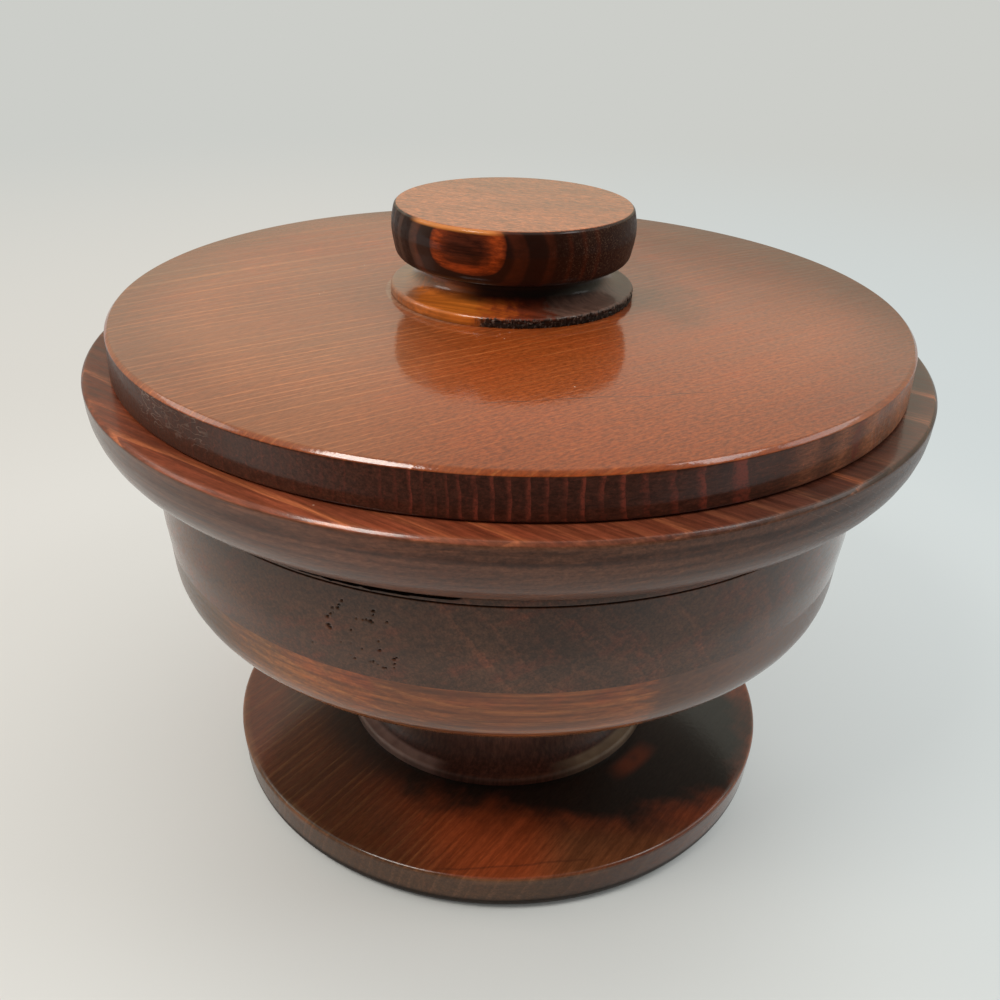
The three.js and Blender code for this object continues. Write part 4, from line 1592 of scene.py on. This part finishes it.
disc_wood = wood("lid_locating_disc", dict(
    grain=plan(12), across=(0.1, 0.3, 0.95), spacing=2.8, waves=9.0, pith=70.0, line_from=0.5,
    faintest=0.2, fibre=0.4, grit=0.2, tool=0.8, coat=0.7, coat_roughness=0.3,
), dict(
    early=(0.24, 0.07, 0.022), late=(0.40, 0.15, 0.05),
    end_early=(0.10, 0.035, 0.015), end_late=(0.2, 0.07, 0.03),
))

# %% [markdown]
# ## Putting each piece in place
# Every turned piece stands for one piece of the frame, whose own mesh is hidden. It gets
# the material made for that piece and rides on the body that moves it, so the lid's three
# pieces lift off together.

# %% Assemble
parts = (
    (foot, "foot", "bowl", foot_wood),
    (stem, "stem", "bowl", stem_wood),
    (bowl_base, "bowl_base", "bowl", base_wood),
    (bowl_wall, "bowl_wall", "bowl", wall_wood),
    (bowl_rim, "bowl_rim", "bowl", rim_wood),
    (lid_board, "lid_board", "lid", lid_wood),
    (locating_disc, "lid_locating_disc", "lid", disc_wood),
    (lid_knob, "lid_knob", "lid", knob_wood),
)
for piece, node, body, material in parts:
    piece.data.materials.append(material)
    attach(piece, body)
    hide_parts(node)

# %% [markdown]
# ## Floor and room
# The bowl stands on a pale sheet. Near the bowl it is a real surface that takes the shadow,
# mixed with a glow of its own so that the shadow stays as weak as on a sheet lit from all
# sides. A painted shadow makes it a little greyer just in front of the foot. Further out it
# gives way to an even pale tone, so that the horizon stays faint from every side. The room
# behind the camera is dark, and only reflections notice: it keeps the front of the varnish
# deep. Behind the bowl they see a warm pale wall.

# %% Floor
FLOOR_RINGS = (0.15, 0.3, 0.6, 1.2, 3.0, 14.0)
FLOOR_STEPS = 96
SHEET_LEFT = (0.715, 0.705, 0.675)
SHEET_RIGHT = (0.735, 0.775, 0.775)
FAR_COLOUR = (0.605, 0.615, 0.585)
NEAR_LEFT = (0.72, 0.695, 0.64)
NEAR_RIGHT = (0.64, 0.688, 0.684)
GLOW_LEFT = 0.08
GLOW_RIGHT = 0.55
FRONT_DARK = (0.07, 0.05, 0.035)
FRONT_SHADE = 0.90
FRONT_PLACE = (0.0, -0.094)
FRONT_REACH = (0.09, 0.0625)


def make_floor():
    """A wide flat disc, cut in rings round the bowl."""
    points, faces = [(0, 0, 0)], []
    for radius in FLOOR_RINGS:
        for step in range(FLOOR_STEPS):
            angle = 2 * math.pi * step / FLOOR_STEPS
            points.append((radius * math.cos(angle), radius * math.sin(angle), 0))
    for step in range(FLOOR_STEPS):
        after = (step + 1) % FLOOR_STEPS
        faces.append((0, 1 + step, 1 + after))
        for ring in range(len(FLOOR_RINGS) - 1):
            inner, outer = 1 + ring * FLOOR_STEPS, 1 + (ring + 1) * FLOOR_STEPS
            faces.append((inner + step, outer + step, outer + after, inner + after))
    mesh = bpy.data.meshes.new("floor")
    mesh.from_pydata(points, [], faces)
    floor = bpy.data.objects.new("floor", mesh)
    bpy.context.scene.collection.objects.link(floor)
    return floor


def make_sheet():
    """Lit near the bowl, glowing far from it, and dark in front, but only for reflections."""
    material = bpy.data.materials.new("sheet")
    bench = Bench(material)
    place = bench.add("ShaderNodeTexCoord")["Object"]
    x, y, _ = place.parts()
    distance = place.length()
    rightward = x.spread(-0.25, 0.25)
    # Painted shadow: an ellipse just in front of the foot is greyer, in the glow and the paper alike.
    contact_shadow = place.outward(FRONT_PLACE, FRONT_REACH).spread(0.2, 1.3, FRONT_SHADE, 1.0)
    tone = distance.spread(0.3, 1.2).blend(rightward.blend(NEAR_LEFT, NEAR_RIGHT), FAR_COLOUR)
    glow = bench.add("ShaderNodeEmission", {"Color": contact_shadow.shade(tone)})[0]
    paper = contact_shadow.shade(rightward.blend(SHEET_LEFT, SHEET_RIGHT))
    lit = bench.add("ShaderNodeBsdfDiffuse", {"Color": paper})[0]
    least = (x + y).spread(-0.05, 0.10, GLOW_LEFT, GLOW_RIGHT)
    sheet = distance.spread(0.08, 0.42, least, 1.0).between(lit, glow)
    dark = bench.add("ShaderNodeEmission", {"Color": FRONT_DARK})[0]
    glossy = bench.add("ShaderNodeLightPath")["Is Glossy Ray"]
    mixed = (glossy * y.spread(-0.20, -0.36)).between(sheet, dark)
    bench.add("ShaderNodeOutputMaterial", {"Surface": mixed})
    return material


floor = make_floor()
floor.data.materials.append(make_sheet())
floor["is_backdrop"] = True
print(f"floor: {len(floor.data.polygons)} faces, {2 * FLOOR_RINGS[-1]:.0f} m across")

# %% World
REFLECTED_ROOM = (
    (0.0, (0.42, 0.39, 0.31)), (0.16, (0.56, 0.52, 0.38)), (0.34, (0.72, 0.71, 0.57)),
    (0.6, (0.60, 0.59, 0.51)), (1.0, (0.70, 0.68, 0.60)),
)
ROOM_LOW = 0.30
ROOM_HIGH = 1.0
DAYLIGHT = (1.0, 0.99, 0.96)


def make_world():
    """Brighter above than at the sides and darker in front. The camera sees one plain pale tone."""
    world = bpy.data.worlds.new("room")
    bpy.context.scene.world = world
    bench = Bench(world)
    _, y, z = bench.add("ShaderNodeTexCoord")["Generated"].parts()
    path = bench.add("ShaderNodeLightPath")
    light = z.spread(0.0, 0.8, ROOM_LOW, ROOM_HIGH) * y.spread(-0.85, 0.1, 0.25, 1.0)
    lighting = bench.add("ShaderNodeBackground", {"Color": DAYLIGHT, "Strength": light})[0]
    room = {"Color": z.ramp(REFLECTED_ROOM), "Strength": y.spread(-0.7, 0.05, 0.07, 1.0)}
    reflected = bench.add("ShaderNodeBackground", room)[0]
    backdrop = bench.add("ShaderNodeBackground", {"Color": FAR_COLOUR})[0]
    shiny = path["Is Glossy Ray"].greater(path["Is Transmission Ray"])
    seen = path["Is Camera Ray"].between(shiny.between(lighting, reflected), backdrop)
    bench.add("ShaderNodeOutputWorld", {"Surface": seen})


make_world()
print(f"room: strength {ROOM_LOW} at the horizon and {ROOM_HIGH} overhead")

# %% [markdown]
# ## Lamps
# The shadow on the foot tells where the main light stands: high, to the left, a little in
# front. It is a warm window, small enough to leave a bright stripe on every rounded edge. A
# weaker, cooler one on the right answers it. Both are wide panels far off, so that their
# shadows stay soft.

# %% Lamps
TARGET = Vector((0, 0, 0.12))
WARM = (1.0, 0.96, 0.90)
COOL = (0.96, 0.99, 1.0)


def softbox(name, direction, distance, size, radiance, colour):
    """A panel aimed at the bowl. radiance is how bright its face looks, where 1 is white paper."""
    lamp = bpy.data.lights.new(name, "AREA")
    lamp.shape = "RECTANGLE"
    lamp.size, lamp.size_y = size
    lamp.energy = radiance * math.pi * size[0] * size[1]
    lamp.color = colour
    holder = bpy.data.objects.new(name, lamp)
    away = Vector(direction).normalized()
    holder.location = TARGET + away * distance
    holder.rotation_euler = (-away).to_track_quat("-Z", "Y").to_euler()
    bpy.context.scene.collection.objects.link(holder)
    print(f"{name}: {lamp.energy:.1f} W, {size[0]} m by {size[1]} m at {distance} m")


softbox("window_left", (-0.46, -0.41, 0.80), 1.5, (0.50, 0.36), 18.0, WARM)
softbox("window_right", (0.60, -0.15, 0.76), 1.7, (0.44, 0.50), 5.0, COOL)
softbox("side_left", (-0.83, 0.12, 0.53), 1.6, (0.60, 0.40), 2.6, WARM)
softbox("side_right", (0.83, 0.12, 0.53), 1.6, (0.60, 0.40), 2.0, COOL)

# %% [markdown]
# ## Sizes of the two boxes
# The visual pieces were made for the frame. Both boxes are worked out, and the highest
# corner of each is printed.

# %% Finish
visual_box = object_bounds()
boxes = {"cad": [list(corner) for corner in cad_box], "visual": [list(corner) for corner in visual_box]}
for name, box in boxes.items():
    print(name, "reaches", [round(value / MM, 2) for value in box[1]])
